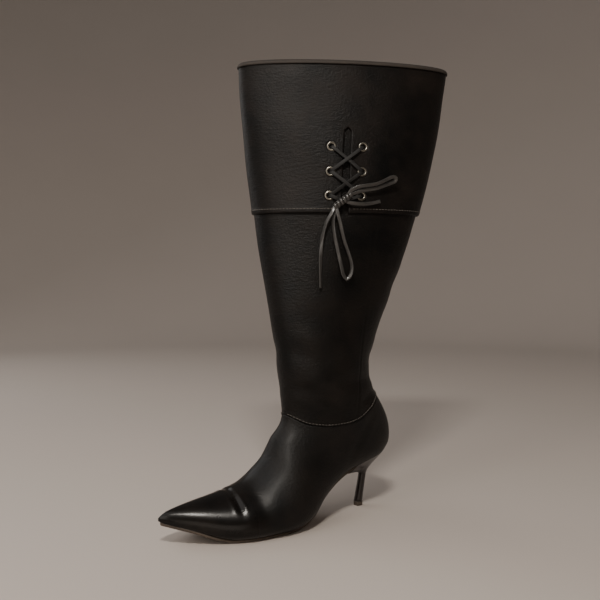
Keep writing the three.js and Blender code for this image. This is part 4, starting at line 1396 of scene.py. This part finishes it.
STRANDS = {
    "lace_loop_back": Strand(0.5, "knot", "loose", (
        (6.4, 52.4, 323.4), (3.5, 53.2, 328.5), (-4, 54, 332.2), (-13, 54.2, 333.8), (-22, 53, 335.4),
        (-31, 51.4, 339.2), (-38.5, 50, 342.8), (-42.6, 48.2, 342.6), (-43.2, 46.6, 339.6),
        (-39.5, 47.2, 337.6), (-31, 48.8, 334.4), (-22, 50, 331.2), (-13, 51, 329.6),
        (-4.5, 51.6, 327.6), (5, 51.8, 323.8),
    )),
    "lace_end_back": Strand(0.3, "bare", "loose", (
        (9.6, 52.6, 319.8), (6.2, 52.3, 317.2), (-2, 52.6, 316), (-9, 51.9, 315.8), (-16, 50.6, 316.4),
        (-22, 49.2, 317.6), (-27, 48, 318.8),
    )),
    "lace_end_down": Strand(0.9, "bare", "hanging", (
        (17.2, 53, 315), (20.1, 53.7, 311.3), (23.2, 54.6, 306.2), (26.6, 54.4, 300.6),
        (29.6, 54.2, 293), (31.8, 54, 284), (33.2, 54.2, 274), (34, 54.8, 263), (34.3, 55.6, 252),
        (34.4, 56.6, 242), (34.4, 57.4, 233.4),
    )),
    "lace_loop_down": Strand(0.8, "knot", "hanging", (
        (17.6, 53.2, 314.2), (18, 54.1, 310.5), (16.8, 55.4, 304.6), (14.8, 55.6, 297),
        (12.6, 55.6, 287), (10.2, 55.6, 278), (7.2, 55.8, 269.6), (4.4, 56, 261), (3.2, 56.4, 253),
        (4.6, 56.6, 245.6), (8.4, 56.6, 242), (11.8, 56.4, 246.4), (13.6, 56, 254), (15.8, 55.4, 264),
        (18.2, 54.8, 275), (20.4, 54, 287), (21.2, 53, 297), (20.4, 52.6, 304), (18.6, 52.8, 313.4),
    )),
}
# Stretches of the lace between two holes: from, to, height of the hump over the leather
CROSSINGS = (
    ("eyelet_front_1", "eyelet_back_2", 1.2), ("eyelet_back_1", "eyelet_front_2", 2.7),
    ("eyelet_front_2", "eyelet_back_3", 2.7), ("eyelet_back_2", "eyelet_front_3", 1.2),
    ("eyelet_front_3", "knot", 2.2), ("eyelet_back_3", "knot", 2.2),
)
KNOT_MIDDLE = (11.9, 318.5)  # place along the cuff and height where its two lower stretches end
KNOT_ENDS = ((19.4, 53.1, 313.0), (4.4, 52.1, 324.0))


@dataclass
class Lacing:
    """Eyelets, crossings, wrapped knot, loops and ends of the flat leather lace."""

    leather: Leather
    placing: Placing
    cuff: Cuff
    ribbon: Ribbon = field(default_factory=Ribbon)
    drops: tuple[float, ...] = (86.0, 111.0, 135.0)
    spread: float = 32.0
    eyelet_size: float = 10.0
    bore: float = 5.0
    barrel: float = 2.1  # depth of the eyelet's barrel under its flange
    flange: float = 1.05  # and height of the flange
    knot_turns: float = 5.4
    knot_radius: tuple[float, float] = (2.3, 0.9)  # at its ends, and what the middle adds
    knot_core: float = 2.1
    wound_size: tuple[float, float] = (1.55, 0.62)  # half the wound lace's width and depth

    def eyelet_places(self) -> list[tuple[str, float, float]]:
        """Name, place along the rim and height of each eyelet."""
        places = []
        for i, drop in enumerate(self.drops, 1):
            z = self.leather.form.rim_z - drop
            middle = float(self.cuff.slit_middle(z))
            places.append((f"eyelet_front_{i}", middle + self.spread / 2, z))
            places.append((f"eyelet_back_{i}", middle - self.spread / 2, z))
        return places

    def middles(self, lift: float) -> np.ndarray:
        """Middles of the eyelets at a distance over the shaft's leather."""
        along, z = np.array([(a, h) for _, a, h in self.eyelet_places()]).T
        return self.leather.over_cuff(along, z, lift)

    def frame_at(self, along: float, z: float) -> tuple[np.ndarray, np.ndarray, np.ndarray]:
        """Directions on the leather at an eyelet: forward, up and out."""
        x = self.leather.over_cuff(np.array((along - 1, along + 1)), np.array((z, z)), 0.0)
        y = self.leather.over_cuff(np.array((along, along)), np.array((z - 1, z + 1)), 0.0)
        ahead = unit(x[1] - x[0])
        out = unit(np.cross(unit(y[1] - y[0]), ahead))
        return ahead, np.cross(out, ahead), out

    def build_eyelets(self, finish: bpy.types.Material) -> list[tuple[bpy.types.Object, str]]:
        """Rolled eyelets.

        The profile is a half round flange that runs down into a barrel, turned about the eyelet's axis.

        Args:
            finish: material.

        Returns:
            Each piece with the CAD node that it replaces.
        """
        inside = self.bore / 2
        rim = self.eyelet_size / 2
        bow = np.linspace(0, math.pi, 11)
        flange = (rim + inside) / 2 + (rim - inside) / 2 * np.cos(bow)
        radius = np.concatenate((flange, [inside, inside + 0.05, inside + 0.55, inside + 0.6, rim - 0.1]))
        barrel = [0.2 - self.barrel, -self.barrel, -self.barrel, -0.35, -0.25]
        height = np.concatenate((self.flange * np.sin(bow) ** 0.8, barrel))
        around = np.linspace(0, 2 * math.pi, 40, endpoint=False)
        rows = [*range(len(radius)), 0]
        numbers = np.arange(radius.size * around.size).reshape(radius.size, around.size)[rows]
        faces = numbers.ravel()[grid_quads(len(rows), around.size, wrap=True)]
        made = []
        for name, along, z in self.eyelet_places():
            ahead, up, out = self.frame_at(along, z)
            middle = self.leather.over_cuff(np.array((along,)), np.array((z,)), self.cuff.face + 0.35)[0]
            ring = np.cos(around)[:, None] * ahead + np.sin(around)[:, None] * up
            points = middle + radius[:, None, None] * ring + height[:, None, None] * out
            points = self.placing.row(points)
            made.append((new_piece(f"{name}_ring", points, faces.tolist(), finish, turn_out=True), name))
        return made

    def build_crossings(self, finish: bpy.types.Material) -> bpy.types.Object:
        """Lace from eyelet to eyelet: two crosses over the slit and the two stretches that run to the knot.

        A stretch climbs out of its eyelet, spans to the next on a low hump and goes down again. The stretch
        with the higher hump lies over the other of its cross.

        Args:
            finish: material.

        Returns:
            The joined piece.
        """
        places = {name: np.array((along, z)) for name, along, z in self.eyelet_places()}
        share = np.array((0.0, 0.03, 0.13, 0.3, 0.5, 0.7, 0.87, 0.97, 1.0))
        low = self.cuff.face - 0.9
        _, _, out = self.leather.cuff_axes()
        tubes = []
        for start, end, hump in CROSSINGS:
            line = places[start] + (places.get(end, np.array(KNOT_MIDDLE)) - places[start]) * share[:, None]
            arch = self.cuff.face + 2.1 + hump * np.sin(np.pi * share) ** 2 * 0.55
            arch[:2] = low, low + 1.8
            if end in places:
                arch[-2:] = low + 1.8, low
            base = self.leather.over_cuff(line[:, 0], line[:, 1], 0.0)
            path = curve_through(base + arch[:, None] * out, 40)
            twist = 0.25 * np.sin(np.linspace(0, math.pi, 40)) * (1 if hump > 2 else -1)
            tubes.append(self.ribbon.rings(path, out, twist))
        points, faces = closed_tubes(tubes)
        return new_piece("lace_crosses", self.placing.row(points), faces, finish, turn_out=True)

    def build_cord(
        self, name: str, strand: Strand, finish: bpy.types.Material,
    ) -> tuple[bpy.types.Object, np.ndarray, float]:
        """One loop or end of the lace.

        Args:
            name: name of the CAD node that it replaces.
            strand: its route and twist.
            finish: material.

        Returns:
            The piece, its path in metres and its length in metres.
        """
        _, _, out = self.leather.cuff_axes()
        path = curve_through(self.leather.from_cuff(strand.route), 60)
        turn = strand.twist * np.sin(np.linspace(0, 1.6 * math.pi, 60))
        points, faces = closed_tube(self.ribbon.rings(path, out, turn))
        piece = new_piece(f"{name}_strap", self.placing.row(points), faces, finish, turn_out=True)
        metres = self.placing.row(path[::2])
        return piece, metres, float(lengths(metres)[-1])

    def build_knot(self, finish: bpy.types.Material) -> bpy.types.Object:
        """Wrapped knot: a lace wound about the line between its two ends, over a core of the other strands.

        The winding is a helix whose radius swells in the middle.

        Args:
            finish: material.

        Returns:
            The joined piece.
        """
        first, last = self.leather.from_cuff(KNOT_ENDS)
        axis = unit(last - first)
        _, _, out = self.leather.cuff_axes()
        side = unit(np.cross(axis, out))
        deep = np.cross(side, axis)
        t = np.linspace(0, 1, 190)
        angle = 2 * math.pi * self.knot_turns * t
        radius = self.knot_radius[0] + self.knot_radius[1] * np.sin(math.pi * t)
        line = first + (last - first) * (-0.04 + 1.08 * t)[:, None]
        path = line + radius[:, None] * (np.cos(angle)[:, None] * side + np.sin(angle)[:, None] * deep)
        radial = unit(path - line)
        across = unit(np.cross(unit(np.gradient(path, axis=0)), radial))
        turn = np.linspace(0, 2 * math.pi, 10, endpoint=False)
        wide, deep_half = self.wound_size
        wound = ovals(path, across, radial, wide * np.cos(turn), deep_half * np.sin(turn))
        share = np.linspace(0, 1, 24)[:, None]
        girth = self.knot_core * np.sin(math.pi * (0.14 + 0.72 * share)) ** 0.5
        core = ovals(first + (last - first) * share, girth * side, girth * deep, np.cos(turn), np.sin(turn))
        points, faces = closed_tubes((wound, core))
        return new_piece("lace_knot_wrap", self.placing.row(points), faces, finish, turn_out=True)



@dataclass
class Trim:
    """Rows of topstitching along the seams."""

    leather: Leather
    placing: Placing
    cuff: Cuff
    pitch: float = 3.4
    length: float = 2.5
    thread: float = 0.3

    @staticmethod
    def side_seam_x(form: BootForm, z: np.ndarray) -> np.ndarray:
        """Place of the shaft's outer side seam at each height."""
        above = np.clip(z - form.heel_height - form.ankle_height, -60, None)
        return SIDE_SEAM_X - SIDE_SEAM_SET_BACK * above / form.shaft_height

    def stitches(
        self, name: str, lines: list[tuple[np.ndarray, np.ndarray]], finish: bpy.types.Material,
    ) -> bpy.types.Object:
        """Joined stitches along lines on the leather.

        Each stitch is a spindle laid along the line and half sunk into the leather.

        Args:
            name: name of the piece.
            lines: for each line its points and normals.
            finish: material.

        Returns:
            The joined piece.
        """
        stitch = Spindle(
            np.array((-0.5, -0.36, 0.0, 0.36, 0.5)) * self.length,
            np.array((0.35, 0.85, 1.0, 0.85, 0.35)) * self.thread,
            np.array((-0.2, 0.0, 0.1, 0.0, -0.2)),
        )
        tubes = []
        for line, normals in lines:
            length = lengths(line)
            at = np.arange(self.pitch / 2, length[-1], self.pitch)
            normal = unit(read_curve(at, length, normals))
            along = unit(read_curve(at + 0.5, length, line) - read_curve(at - 0.5, length, line))
            across = unit(np.cross(normal, along))
            tubes.extend(stitch.at(read_curve(at, length, line), along, across, normal))
        points, faces = closed_tubes(tubes)
        return new_piece(name, self.placing.row(points), faces, finish, turn_out=True)

    def ankle_lines(self, over: float, lift: float) -> list[tuple[np.ndarray, np.ndarray]]:
        """Line at a height over the ankle seam, on the outer and on the inner side."""
        form = self.leather.form
        lines = []
        for side in (Side.OUTER, Side.INNER):
            x = np.linspace(8.0, 136.0, 140)
            points, normals = self.leather.from_side(x, form.ankle_seam(x) + over, side)
            good = (np.abs(normals[:, 1]) > 0.12) & (np.abs(points[:, 0] - x) < 0.5)
            lines.append((points[good] + lift * normals[good], normals[good]))
        return lines

    def zip_lines(self, zipper: Zip, beside: float) -> list[tuple[np.ndarray, np.ndarray]]:
        """Lines beside the zip's slot."""
        lines = []
        for way in (-1, 1):
            z = np.linspace(zipper.bottom - 3, zipper.top + 4, 150)
            points, normals = self.leather.from_side(zipper.line_x(z) + way * beside, z, Side.INNER)
            lines.append((points + 0.1 * normals, normals))
        return lines

    def cuff_lines(self, up: float) -> list[tuple[np.ndarray, np.ndarray]]:
        """Line along the cuff's lower edge, from one side of the slit round to the other."""
        form = self.leather.form
        z = self.cuff.bottom + up
        ring = self.cuff.from_slit(form.rings(np.array((form.station_at_height(z),)), 200)[0][:-1], z)
        tangent = unit(np.gradient(ring, axis=0))
        normals = np.cross(tangent, np.array((0.0, 0.0, 1.0)))
        normals *= np.sign(((ring - ring.mean(axis=0)) * normals).sum(axis=1, keepdims=True))
        line = ring + (self.cuff.face + 0.05 + self.cuff.swell(ring))[:, None] * normals
        return [(line[5:-5], normals[5:-5])]


@dataclass
class Bottom:
    """Outsole and covered heel."""

    skin: Skin
    placing: Placing
    breast: float = 68.0
    inset: float = 0.5
    seam: float = 0.3
    stem_size: float = 8.0
    tip_size: float = 9.4
    tip_overhang: float = 0.4  # how much wider the top piece is than the foot of the heel
    top_piece: float = 4.5
    stem_top: float = 33.0
    stem_lean: float = 5.5
    stem_rings: int = 14
    cup_rings: int = 30
    overlap: float = 12.0
    corner: float = 1.3  # width of the sole's rounded lower corner, and its share of the sole's height
    corner_share: float = 0.75
    sole_end: float = 0.99  # share of the foot's length that the sole reaches
    sole_stations: int = 150

    def edge(self, side: Side) -> np.ndarray:
        """The upper's lower edge on one side, from the toe to the heel."""
        column = 0 if side is Side.OUTER else -1
        rows = self.skin.grid[: int(self.skin.form.ankle_station), column]
        on_sole = np.abs(rows[:, 2] - self.skin.form.sole_edge(rows[:, 0])) < 0.5
        return rows[on_sole]

    def edge_y(self, side: Side, x: np.ndarray) -> np.ndarray:
        """Distance of that edge from the x axis at each x."""
        line = self.edge(side)[::-1]
        return np.interp(x, line[:, 0], line[:, 1])

    def build_outsole(self, finish: bpy.types.Material) -> bpy.types.Object:
        """Thin sole with a rounded lower edge, from the heel's breast to the toe.

        Its section is a rounded rectangle between the two edges, whose lower corners are quarter ellipses.

        Args:
            finish: material.

        Returns:
            The piece.
        """
        form = self.skin.form
        back = self.breast - self.overlap
        share = np.linspace(0, 1, self.sole_stations)[:, None] ** 0.9
        x = back + (form.foot_length * self.sole_end - back) * share
        inner = self.edge_y(Side.INNER, x) + self.inset
        width = self.edge_y(Side.OUTER, x) - self.inset - inner
        low = form.sole_underside(x)
        tall = form.sole_edge(x) - self.seam - low
        arc = np.linspace(0, math.pi / 2, 6)[None, :]
        flat = np.linspace(0.08, 0.92, 9)[None, :]
        reach = np.minimum(self.corner, width / 5)
        corner = reach * (1 - np.cos(arc))
        curve = self.corner_share * tall * (1 - np.sin(arc))
        across = np.concatenate(
            (
                0 * x, corner, reach + (width - 2 * reach) * flat, width - corner[:, ::-1], width,
                width * flat[:, ::-1],
            ),
            axis=1,
        )
        level = 0 * flat
        height = np.concatenate((tall, curve, tall * level, curve[:, ::-1], tall, tall + level), axis=1)
        rings = np.stack((x + 0 * across, inner + across, low + height), axis=2)
        points, faces = closed_tube(rings)
        return new_piece("outsole_edge", self.placing.row(points), faces, finish, weld=1e-5, turn_out=True)

    def build_heel(self, finish: bpy.types.Material) -> bpy.types.Object:
        """Covered heel: a round stem that flares into a cup under the counter.

        Rings blend from the stem's circle to the seat's outline by a power of the height share, higher at
        the breast than at the back.

        Args:
            finish: material.

        Returns:
            The piece.
        """
        form = self.skin.form
        edges = (self.edge(Side.OUTER), self.edge(Side.INNER)[::-1])
        outer, inner = (line[line[:, 0] < self.breast - self.seam] for line in edges)
        front = np.linspace(inner[-1], outer[0], 12)[1:-1]
        around = respace(np.concatenate((outer, inner, front, outer[:1])), 97, 0.0)[:-1]
        pull = unit(np.stack((HEEL_AXIS - around[:, 0], -around[:, 1], 0 * around[:, 0]), axis=1))
        seat = around + self.inset * pull
        angle = np.arctan2(seat[:, 1], seat[:, 0] - HEEL_AXIS)
        bottom = self.top_piece + self.seam
        foot_size = self.tip_size - self.tip_overhang
        rings = []
        for t in np.linspace(0, 1, self.stem_rings):
            radius = (foot_size + (self.stem_size - foot_size) * min(1.0, 1.6 * t)) / 2
            x = HEEL_AXIS - self.stem_lean * t + radius * np.cos(angle)
            z = bottom + (self.stem_top - bottom) * t
            rings.append(np.stack((x, radius * np.sin(angle), np.full_like(x, z)), axis=1))
        stem = rings[-1]
        forward = smooth_step(HEEL_AXIS - 10, self.breast, seat[:, 0])
        shared = smooth_step(self.breast - self.overlap, self.breast - 6, seat[:, 0])
        rise = form.sole_edge(seat[:, 0]) - self.seam - (form.sole_thickness - 0.5) * shared - self.stem_top
        for t in np.linspace(0, 1, self.cup_rings)[1:]:
            spread = t ** (1.5 + 1.1 * forward)
            spread = spread + 0.35 * (t * t * (3 - 2 * t) - spread)
            ring = stem + (seat - stem) * spread[:, None]
            ring[:, 2] = self.stem_top + rise * t
            rings.append(ring)
        points, faces = closed_tube(np.array(rings))
        return new_piece("heel_cover", self.placing.row(points), faces, finish, turn_out=True)


@dataclass(frozen=True)
class Lamp:
    """Rectangular soft light: where it stands and looks and its size in metres, its watts and colour."""

    name: str
    place: tuple[float, float, float]
    target: tuple[float, float, float]
    size: tuple[float, float]
    power: float
    colour: str

    def build(self) -> None:
        """Adds the light to the scene."""
        data = bpy.data.lights.new(self.name, "AREA")
        data.shape = "RECTANGLE"
        data.size, data.size_y = self.size
        data.energy = self.power
        data.color = linear(self.colour)[:3]
        light = bpy.data.objects.new(self.name, data)
        light.location = self.place
        aim = Vector(self.target) - Vector(self.place)
        light.rotation_euler = aim.to_track_quat("-Z", "Y").to_euler()
        light.visible_camera = False
        bpy.context.scene.collection.objects.link(light)


# The strip gives the toe its long highlight
LAMPS = (
    Lamp("overhead", (1.2, -0.1, 1.75), (0.1, 0.0, 0.1), (1.3, 1.3), 6.5, "fffaf6"),
    Lamp("strip", (0.53, 0.66, 1.14), (0.11, 0.02, 0.04), (0.2, 0.1), 9.0, "fff8ee"),
    Lamp("room_wall", (0.85, 1.30, 0.3), (0.08, 0.0, 0.05), (0.7, 0.5), 1.4, "fff0e0"),
    Lamp("window", (1.45, 0.6, 0.8), (0.05, 0.0, 0.15), (0.9, 1.1), 7.0, "fff6ec"),
    Lamp("bounce", (0.7, -1.25, 0.9), (0.0, 0.0, 0.2), (1.2, 1.0), 6.5, "f6f4f2"),
)


@dataclass
class Studio:
    """Pale floor that curves up behind the boot, soft lights and the camera of the photograph's angle."""

    camera_place: tuple[float, float, float] = (0.4220, 0.6203, 0.2534)
    look_at: tuple[float, float, float] = (0.0, 0.0, 0.2205)
    lens: float = 44.5
    floor_reach: float = 5.5
    floor_rise: float = 3.4
    floor_bend: tuple[float, float] = (1.7, 5.2)
    bright_side: tuple[float, float, float] = (0.83, -0.56, 0.0)

    def add_camera(self) -> None:
        """Puts the camera in place."""
        data = bpy.data.cameras.new("view")
        data.lens = self.lens
        data.sensor_width = 36.0
        data.clip_start = 0.01
        camera = bpy.data.objects.new("view", data)
        camera.location = self.camera_place
        aim = Vector(self.look_at) - Vector(self.camera_place)
        camera.rotation_euler = aim.to_track_quat("-Z", "Y").to_euler()
        bpy.context.scene.collection.objects.link(camera)
        bpy.context.scene.camera = camera

    def build_floor(self) -> None:
        """One sheet that is flat near the boot and rises far away in every direction.

        The height is a smooth function of the distance from the boot, and the sheet's points are closer
        together near it.
        """
        side = np.linspace(-1, 1, 121)
        side = self.floor_reach * np.sign(side) * np.abs(side) ** 1.3
        x, y = np.meshgrid(side, side, indexing="ij")
        z = self.floor_rise * smooth_step(*self.floor_bend, np.hypot(x, y))
        points = np.stack((x, y, z), axis=2)
        graph = Graph("pale_floor_paper")
        mottle = graph.add("TexNoise", {"Scale": 2.2, "Detail": 3.0}, {"Vector": graph.place}).outputs["Fac"]
        colour = graph.blend(mottle, "c8beb6", "cec4bc")
        paper = graph.finish({"Roughness": 0.6, "IOR": 1.4}, {"Base Color": colour})
        new_piece("floor", points, grid_quads(*points.shape[:2])[:, ::-1].tolist(), paper)

    def add_room(self) -> None:
        """A dim room all round that is brighter on the side that bright_side points to."""
        world = bpy.data.worlds.new("room")
        world.use_nodes = True
        tree = world.node_tree
        way = add_node(tree, "TexCoord").outputs["Generated"]
        side = add_node(tree, "VectorMath", {"operation": "DOT_PRODUCT", 1: self.bright_side}, {0: way})
        spread = {"From Min": -1.0, "From Max": 1.0, "To Min": 0.05, "To Max": 0.5}
        strength = add_node(tree, "MapRange", spread, {"Value": side.outputs["Value"]})
        background = tree.nodes["Background"]
        background.inputs["Color"].default_value = linear("d0cac5")
        tree.links.new(strength.outputs["Result"], background.inputs["Strength"])
        bpy.context.scene.world = world


def ride_as(piece: bpy.types.Object, nodes: tuple[str, ...] = (), body: str = "boot") -> None:
    """Lets a piece ride on a body and the CAD nodes that it stands for.

    Args:
        piece: the piece.
        nodes: CAD nodes that it replaces.
        body: body that it rides on.
    """
    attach(piece, body)
    if nodes:
        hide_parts(*nodes)
    LOG.info("%s: %d faces on %s", piece.name, len(piece.data.polygons), body)


def build_lacing(
    lacing: Lacing, lace: bpy.types.Material, crossing: bpy.types.Material, metal: bpy.types.Material,
) -> None:
    """Eyelets, crossings, knot, loops and ends.

    Args:
        lacing: the lacing.
        lace: material of the knot, the loops and the ends.
        crossing: material of the crossings, a darker copy of the lace with painted shade.
        metal: material of the eyelets.
    """
    knot = lacing.build_knot(lace)
    ride_as(knot, ("lace_knot",))
    for name, strand in STRANDS.items():
        piece, path, length = lacing.build_cord(name, strand, lace)
        ride_as(piece, (name,))
    ride_as(lacing.build_crossings(crossing), ("lace_crossings",))
    for piece, node in lacing.build_eyelets(metal):
        ride_as(piece, (node,))


def main() -> None:
    """Builds the studio and the boot's sub-assemblies in order."""
    logging.basicConfig(level=logging.INFO, format="%(name)s: %(message)s")
    studio = Studio()
    studio.add_camera()
    form = BootForm()
    placing = Placing.from_heel()
    skin = Skin(form)
    leather = Leather.over(skin)
    shaft_leather = GrainedLeather("milled_cowhide_shaft").build()
    toe_polish = (placing.row(np.array((150.0, 0, 0)))[0], placing.row(np.array((196.0, 0, 0)))[0])
    foot_leather = GrainedLeather(
        "milled_cowhide_foot", roughness=0.5, bump=0.45, creases=1.5, specular=0.22, polish=toe_polish,
    ).build()
    cuff_leather = GrainedLeather("milled_cowhide_cuff", warm="1b1613", roughness=0.44).build()
    lining = PlainFinish("pigskin_lining", "2a2420", "342d27", 0.75, 1.2, 0.2).build()
    heel_leather = PlainFinish("polished_heel_cover", "120b09", "1d120e", 0.33, 1.5, 0.05, coat=0.12).build()
    rubber = PlainFinish("moulded_rubber_sole", "3c332b", "4e443a", 0.5, 0.8, 0.2).build()
    nickel = PlainFinish("aged_nickel", "625f58", "8a867d", 0.3, 0.9, 0.08, metallic=1.0).build()
    nylon = PlainFinish("nylon_coil", "1c1c1c", "2b2b2b", 0.3, 0.8, 0.05).build()
    tape = PlainFinish("woven_zip_tape", "0b0b0b", "141414", 0.9, 0.7, 0.5, weave=True).build()
    lace = PlainFinish("cut_leather_lace", "2a2928", "3e3c3a", 0.32, 0.7, 0.2, coat=0.25).build()
    # Darker copy of the lace for the crossings: painted shade, for the shadow they lie in over the slit.
    painted_shade_lace = PlainFinish("cut_leather_lace_shaded", "0c0b0b", "151413", 0.7, 0.7, 0.25).build()
    thread = PlainFinish("bonded_nylon_thread", "5a5550", "6c6761", 0.5, 0.3, 0.1).build()

    cuff = Cuff(form, leather, placing)
    lacing = Lacing(leather, placing, cuff)
    build_lacing(lacing, lace, painted_shade_lace, nickel)

    zipper = Zip(form, leather, placing)
    cutter = zipper.slot_cutter()
    upper = Foot(skin, placing).build(Sheet(foot_leather, lining))
    shaft = Leg(skin, placing).build(Sheet(shaft_leather, lining))
    zipper.cut(upper, cutter)
    zipper.cut(shaft, cutter)
    bpy.data.objects.remove(cutter)
    ride_as(upper, ("upper",))
    ride_as(shaft, ("shaft",))
    folded = cuff.build(Sheet(cuff_leather, lining, 2.0), lacing.middles(0.0))
    ride_as(folded, ("cuff",))

    ride_as(zipper.build_coils(nylon), ("zip_chain",))
    ride_as(rounded_copy("zip_slider", "zip_slider_body", 0.35, nickel), ("zip_slider",))
    tab = rounded_copy("zip_pull_tab", "zip_pull_plate", 0.3, nickel)
    ride_as(tab, ("zip_pull_tab",), "zip_pull")

    bottom = Bottom(skin, placing)
    ride_as(bottom.build_outsole(rubber), ("outsole",))
    ride_as(bottom.build_heel(heel_leather), ("heel",))
    ride_as(rounded_copy("heel_top_piece", "heel_tip", 0.5, rubber), ("heel_top_piece",))

    trim = Trim(leather, placing, cuff)
    lines = [*trim.ankle_lines(1.7, 0.55), *trim.zip_lines(zipper, 5.2), *trim.cuff_lines(4.0)]
    ride_as(trim.stitches("topstitching", lines, thread))

    for node, finish in (("insole", lining), ("zip_tape", tape)):
        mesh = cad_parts[node].data
        mesh.materials.clear()
        mesh.materials.append(finish)

    studio.build_floor()
    for lamp in LAMPS:
        lamp.build()
    studio.add_room()


if __name__ == "__main__":
    main()
